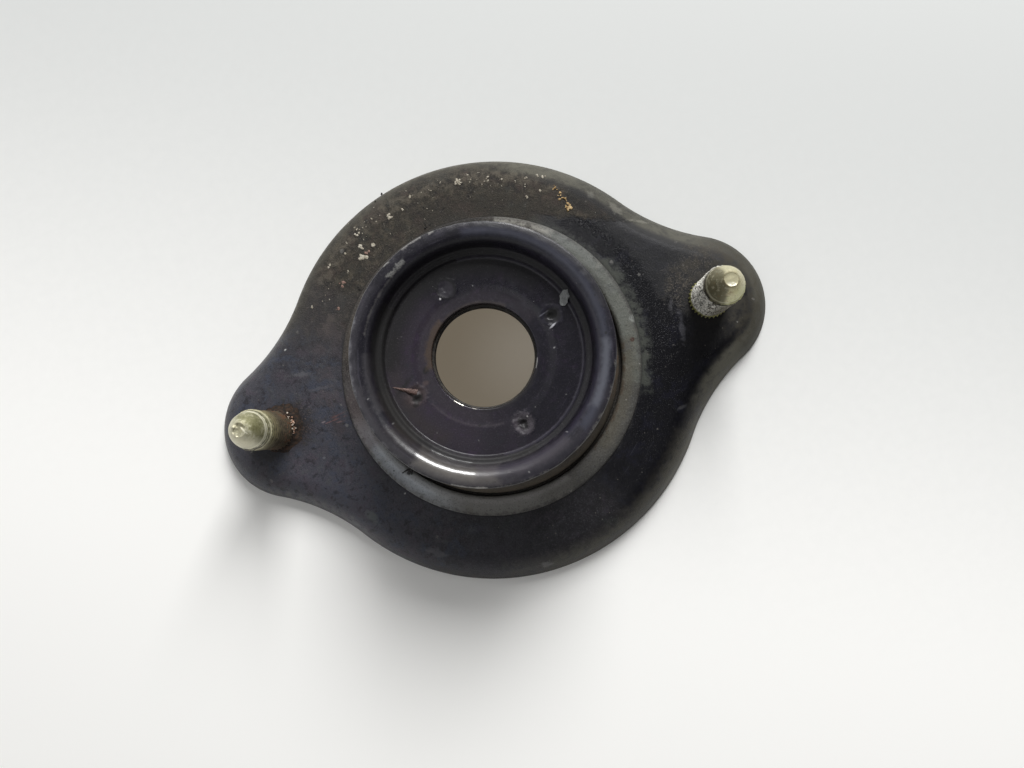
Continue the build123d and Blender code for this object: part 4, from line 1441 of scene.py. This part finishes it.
def studPlating(look, name, side, grit):
    # yellowish zinc: rusty at the left root, crusted white at the right one
    f = Finish(name, look["zinc"], look["gloss"], look["metal"], blotch=0.25, mottle=0.9, grit=grit)
    x = side * stud["spacing"] / 2
    nose = stud["tip"] - stud["noseLength"]
    onFlank = f.level(nose + 0.05, nose - 0.15)
    f.lay(f.blotchy(0.42, 0.62), (168, 160, 118), 0.6, 0.46)
    if side < 0:
        # nose: olive in the middle and cream where it faces out, the olive side painted as shade
        # and the cream side as light, battered at the tip
        f.lay(f.beyond(0.8, 0.6, 0.8 * x - 2.2, 0.8 * x + 1.6, 0.8), look["leftOlive"], 0.85, 0.5,
              0.4)
        f.lay(f.mottled(0.50, 0.64), (206, 202, 178), 0.45, 0.5)
        f.lay(f.mottled(0.46, 0.34), (84, 82, 58), 0.5, 0.5)
        f.lay(f.gritty(0.45, 0.37), (92, 88, 62), 0.4, 0.5)
        f.lay(f.beyond(-0.9, -0.5, 49.6, 53.2, 0.8), (222, 218, 198), 0.5, 0.45)
        f.lay((f.level(nose + 1.5, nose + 1.2), f.level(nose - 0.1, nose + 0.1)), (232, 228, 202),
              0.85, 0.45, 0.3)
        f.lay((f.level(nose + 0.75, nose + 0.65), f.level(nose + 0.5, nose + 0.6)), (70, 66, 48),
              0.8, 0.5)
        f.lay((f.level(nose - 0.35, nose - 0.45), f.level(nose - 1.1, nose - 0.9)), (40, 36, 26),
              0.8, 0.6, 0.2)
        f.lay((f.level(nose - 1.0, nose - 1.2), f.level(nose - 3.2, nose - 2.4)), (204, 198, 166),
              0.7, 0.5, 0.3)
        f.lay(f.level(nose - 2.4, nose - 4.0), (112, 103, 74), 0.85, 0.6, 0.3)
        f.lay(f.level(21.0, 15.0), (62, 51, 38), 0.85, 0.78, 0.1)
        f.lay((f.level(16.0, 10.0), f.mottled(0.5, 0.6)), look["leftRust"], 0.7, 0.85, 0.0, 0.1)
        f.lay((f.level(19.0, 9.0), f.gritty(0.56, 0.66)), (150, 132, 108), 0.5, 0.8, 0.0, 0.08)
        pits = 0.75
    else:
        # nose: dull olive on the side of the cup, painted as shade, cream on the other, a pale land
        # round its foot
        f.lay(f.beyond(-1.0, 0.1, 0.4 - x, 1.6 - x, 0.5), look["rightOlive"], 0.88, 0.5, 0.4)
        f.lay(f.mottled(0.52, 0.66), (214, 208, 182), 0.5, 0.5)
        f.lay(f.gritty(0.46, 0.36), (96, 88, 62), 0.55, 0.5)
        f.lay(f.beyond(0.5, -1.0, 0.5 * x + 2.2, 0.5 * x + 4.4, 1.0), (186, 188, 130), 0.5, 0.45,
              0.4)
        f.lay((f.level(nose + 1.0, nose + 0.8), f.level(nose - 0.1, nose + 0.1)), (196, 192, 168),
              0.65, 0.45)
        low = f.level(nose - 0.9, nose - 1.6)
        f.lay((f.level(nose - 0.3, nose - 0.5), f.level(nose - 1.5, nose - 1.2),
               f.mottled(0.40, 0.50)), (34, 30, 24), 0.9, 0.7, 0.1)
        # the lower flank's white crust, painted paler still as light on the side the lamp leaves in
        # shade
        f.lay(low, (206, 200, 184), 0.85, 0.75, 0.0)
        f.lay((low, f.mottled(0.40, 0.52)), look["rightCrustAndLight"], 0.85, 0.85, 0.0, 0.14)
        f.lay((low, f.beyond(-1.0, 0.2, 2.0 - x, 4.0 - x, 0.8), f.gritty(0.40, 0.52)),
              (244, 242, 232), 0.8, 0.85, 0.0, 0.1)
        f.lay((low, f.beyond(1.0, -0.7, x - 0.5, x + 2.5, 0.8), f.mottled(0.30, 0.45, 0.4, 1.0)),
              (112, 103, 82), 0.75, 0.75, 0.1)
        f.lay((low, f.gritty(0.475, 0.40)), (30, 27, 24), 0.92, 0.8, 0.0, -0.14)
        f.lay((low, f.mottled(0.44, 0.38)), (40, 35, 29), 0.85, 0.8, 0.0, -0.1)
        f.lay((f.level(8.3, 8.0), f.beyond(-1.0, 0.4, 0.5 - x, 2.5 - x)), (22, 20, 19), 0.9, 0.8,
              0.0)
        f.lay((f.level(nose - 0.5, nose + 0.1), f.mottled(0.42, 0.36)), (126, 104, 74), 0.5, 0.6,
              0.2)
        f.lay((f.level(9.0, 7.7), f.beyond(0.3, -1.0, 2.5, 4.5, 0.3)), (186, 184, 112), 0.8, 0.5,
              0.4)
        pits = 0.1
    # the thread's valleys and the gaps between the splines are painted dark as shade
    core = f.dab(x, 0, 4.62, 4.62, 0, 0.16, 0)
    f.lay((core, onFlank), look["valleyShade"], pits, 0.8, 0.0)
    root = f.times(f.dab(x, 0, 5.12, 5.12, 0, 0.1, 0.1), f.level(7.9, 7.7))
    f.lay(root, (24, 21, 16), 0.85, 0.85, 0.0)
    # a worn crown on the tip, with a painted highlight along one side of the right one; the left
    # one is battered out of shape
    atTip = f.level(30.2, 30.8)
    if side < 0:
        f.lay((f.dab(x + 0.2, 0.2, 2.2, 1.9, 30, 0.3, 1.2), atTip), (196, 192, 166), 0.6, 0.5, 0.4)
        f.lay((f.dab(x + 0.2, 0.4, 1.5, 1.3, 50, 0.25, 1.2, "grit"), atTip), (150, 145, 116), 0.7,
              0.5, 0.4)
        f.lay((f.dab(x + 1.1, -0.5, 0.16, 1.2, 30, 0.12, 0.3), atTip), (236, 232, 210), 0.8, 0.4,
              0.4)
        f.lay((f.dab(x - 0.5, 0.9, 0.12, 1.2, -50, 0.12, 0.3), atTip), (96, 90, 66), 0.7, 0.5, 0.4)
    else:
        f.lay((f.dab(x, 0, 1.95, 1.9, 0, 0.12, 0.15), atTip), (112, 104, 76), 0.6, 0.5, 0.4)
        f.lay((f.dab(x, 0, 1.6, 1.5, 0, 0.12, 0.15), atTip), (190, 184, 152), 0.85, 0.45, 0.5)
        # painted highlight on the tip's crown
        f.lay((f.dab(x - 0.3, -1.0, 1.1, 0.45, -20, 0.12, 0.1), atTip), (236, 232, 208), 0.85, 0.3,
              0.5)
    f.relief(f.mottle, 0.05)
    f.relief(f.grit, 0.03)
    f.relief(f.grit, 0.20, onFlank)
    return f.close({"Specular IOR Level": look["specular"]})


def looseStuff(name, first, second, third, rough=0.75):
    # grains, crusts and chips: two tones mottled together, with a third in the pits
    f = Finish(name, first, rough, mottle=1.4, grit=4.0)
    f.lay(f.mottled(0.44, 0.58), second, 0.8)
    f.lay(f.gritty(0.46, 0.36), third, 0.8, 0.85)
    f.relief(f.grit, 0.12)
    return f.close({"Specular IOR Level": 0.4})


finishes = {
    "plate": platePaint(plateLook),
    "cup": cupPaint(cupLook),
    "tower": towerPaint(towerLook),
    "rubber": agedRubber(rubberLook),
    "studLeft": studPlating(studLook, "studPlatingLeft", -1, grit=3.2),
    "studRight": studPlating(studLook, "studPlatingRight", 1, grit=2.4),
    # the three colours of each loose stuff: first, mottled over it, and in its pits
    "pale": looseStuff("paleGrit", (158, 150, 134), (190, 184, 170), (96, 88, 76)),
    "pink": looseStuff("pinkGrit", (124, 98, 88), (146, 120, 108), (70, 54, 48)),
    "tan": looseStuff("tanGrit", (160, 132, 88), (200, 178, 138), (92, 64, 38)),
    "dark": looseStuff("darkGrit", (26, 24, 22), (44, 40, 37), (12, 10, 10)),
    "rust": looseStuff("rustCrust", (31, 25, 20), (62, 43, 30), (15, 12, 11), 0.85),
    "crystal": looseStuff("rustCrystals", (214, 204, 190), (168, 98, 48), (84, 44, 24), 0.4),
    "chip": looseStuff("paintChip", (116, 118, 118), (132, 134, 134), (84, 84, 86), 0.55),
    "burr": looseStuff("weldSpatter", (80, 62, 56), (112, 90, 84), (34, 26, 24), 0.6),
    "fibre": looseStuff("darkFibre", (18, 16, 15), (30, 28, 27), (10, 9, 9), 0.6),
}
print("finishes made:", ", ".join(finishes))

buildPlate(plate, finishes["plate"])
buildTower(tower, finishes["tower"])
buildRubber(rubber, finishes["rubber"])
buildCup(cup, finishes["cup"])
buildStud(stud, -1, "studLeft", "stud_left", finishes["studLeft"], 2.5, 0.40)
buildStud(stud, 1, "studRight", "stud_right", finishes["studRight"], 9.5, 0.05)
scatterGrains("paleGrains", paleGrit, finishes["pale"])
scatterGrains("pinkGrains", pinkGrit, finishes["pink"])
scatterGrains("tanGrains", tanGrit, finishes["tan"])
scatterGrains("darkGrains", darkGrit, finishes["dark"])
buildRustMound(rustMound, finishes["rust"], finishes["crystal"])
buildChip(cupDebris["chip"], cup["floor"], finishes["chip"])
buildBurr(cupDebris["burr"], cup["floor"], finishes["burr"])
buildFibre(cupDebris["fibre"], finishes["fibre"])


# floor, lamps and surroundings

studio = {
    "floorHalf": 4.0,  # half of its side, in metres
    # painted light: the floor's colour runs from floorFar to floorNear, paler where more light
    # would fall
    "floorFar": (0.58, 0.59, 0.58, 1.0),
    "floorNear": (0.97, 0.965, 0.94, 1.0),
    "floorToward": (-0.482, -0.897),  # it grows paler this way, from floorFar to floorNear
    "floorSpan": (-115.0, 75.0),
    "floorCurve": 1.4,
    "floorGrain": 14.0,
    "boreGlow": (1.0, 0.84, 0.62, 1.0),  # seen by the camera only, lifts the floor inside the bore
    "glowReach": (40.0, 30.0),  # it fades in between these distances from the axis
    "glowShare": 0.15,
    "whiteBeyond": (230.0, 900.0),  # the floor fades to plain white between these distances
    "keyPower": 10.6,
    "keyBearing": 61.0,  # degrees round the axis from +X
    "keyHeight": 37.0,
    "keyDistance": 0.9,
    "keySize": 0.42,
    "worldTop": 0.10,
    "worldSide": 0.60,
    "worldTilt": (-0.16, 0.12),  # how much brighter it is towards +X and +Y
    "worldLeast": 0.05,
    "windowToward": (-0.35, -0.05, 0.93),  # a soft patch of sky that the paint reflects
    "windowEdge": (0.92, 1.0),
    "windowLevel": 0.9,
}


def buildStage(look):
    half = look["floorHalf"]
    corners = [(-half, -half, 0), (half, -half, 0), (half, half, 0), (-half, half, 0)]
    floorMesh = bpy.data.meshes.new("floor")
    floorMesh.from_pydata(corners, [], [(0, 1, 2, 3)])
    floor = bpy.data.objects.new("floor", floorMesh)
    floor.location = (0, 0, -0.02 * mm)
    bpy.context.scene.collection.objects.link(floor)
    paper = bpy.data.materials.new("floorPaper")
    paper.use_nodes = True
    tree = paper.node_tree
    do = partial(calc, tree)
    shader = tree.nodes["Principled BSDF"]
    spot = placeGroup(tree, placeFinder, {})
    grain = noiseAt(tree, positionInMm(tree), 0.35, 5.0, 0.6)
    nearness = do("MULTIPLY", grain, look["floorGrain"])
    for label, share in (("Y", look["floorToward"][1]), ("X", look["floorToward"][0])):
        nearness = do("MULTIPLY_ADD", spot[label], share, nearness)
    pale = do("POWER", ramp(tree, nearness, *look["floorSpan"]), look["floorCurve"])
    paperColour = mixColour(tree, pale, look["floorFar"], look["floorNear"])
    feed(tree, shader.inputs["Base Color"], paperColour)
    shader.inputs["Roughness"].default_value = 0.8
    shader.inputs["Specular IOR Level"].default_value = 0.2
    glow = tree.nodes.new("ShaderNodeEmission")
    both = tree.nodes.new("ShaderNodeMixShader")
    seen = tree.nodes.new("ShaderNodeLightPath").outputs["Is Camera Ray"]
    inBore = ramp(tree, spot["Radius"], *look["glowReach"], 0.0, look["glowShare"])
    farAway = ramp(tree, spot["Radius"], *look["whiteBeyond"])
    white = (1.0, 1.0, 1.0, 1.0)
    feed(tree, glow.inputs["Color"], mixColour(tree, farAway, look["boreGlow"], white))
    feed(tree, both.inputs[0], do("MULTIPLY", seen, do("MAXIMUM", inBore, farAway)))
    tree.links.new(shader.outputs[0], both.inputs[1])
    tree.links.new(glow.outputs[0], both.inputs[2])
    # the floor is clear to a camera below it, so the part's underside can be seen
    clear = tree.nodes.new("ShaderNodeBsdfTransparent")
    fromBelow = tree.nodes.new("ShaderNodeNewGeometry").outputs["Backfacing"]
    either = tree.nodes.new("ShaderNodeMixShader")
    feed(tree, either.inputs[0], do("MULTIPLY", seen, fromBelow))
    tree.links.new(both.outputs[0], either.inputs[1])
    tree.links.new(clear.outputs[0], either.inputs[2])
    tree.links.new(either.outputs[0], tree.nodes["Material Output"].inputs["Surface"])
    floorMesh.materials.append(paper)

    lamp = bpy.data.lights.new("keyLamp", "AREA")
    lamp.energy = look["keyPower"]
    lamp.size = look["keySize"]
    lampObject = bpy.data.objects.new("keyLamp", lamp)
    bearing, height = math.radians(look["keyBearing"]), math.radians(look["keyHeight"])
    flat = math.cos(height)
    away = Vector((math.cos(bearing) * flat, math.sin(bearing) * flat, math.sin(height)))
    lampObject.location = away * look["keyDistance"]
    lampObject.rotation_euler = away.to_track_quat("Z", "Y").to_euler()
    bpy.context.scene.collection.objects.link(lampObject)

    world = bpy.data.worlds.new("surroundings")
    bpy.context.scene.world = world
    world.use_nodes = True
    tree = world.node_tree
    do = partial(calc, tree)
    background = tree.nodes["Background"]
    coordinates = tree.nodes.new("ShaderNodeTexCoord")
    parts = tree.nodes.new("ShaderNodeSeparateXYZ")
    tree.links.new(coordinates.outputs["Generated"], parts.inputs[0])
    level = ramp(tree, parts.outputs[2], 0.2, 0.95, look["worldSide"], look["worldTop"])
    tiltX, tiltY = look["worldTilt"]
    tilt = do("MULTIPLY_ADD", parts.outputs[0], tiltX, do("MULTIPLY", parts.outputs[1], tiltY))
    level = do("MAXIMUM", do("ADD", level, tilt), look["worldLeast"])
    toward = Vector(look["windowToward"]).normalized()
    facing = do("MULTIPLY", parts.outputs[2], toward.z)
    for output, share in ((parts.outputs[0], toward.x), (parts.outputs[1], toward.y)):
        facing = do("MULTIPLY_ADD", output, share, facing)
    window = ramp(tree, facing, *look["windowEdge"], 0.0, look["windowLevel"])
    level = do("ADD", level, window)
    seen = tree.nodes.new("ShaderNodeLightPath").outputs["Is Camera Ray"]
    feed(tree, background.inputs["Strength"], mixNumber(tree, seen, level, 1.0))
    background.inputs["Color"].default_value = white


buildStage(studio)
bpy.context.scene.view_settings.view_transform = "Standard"
print("stage and lamps set")
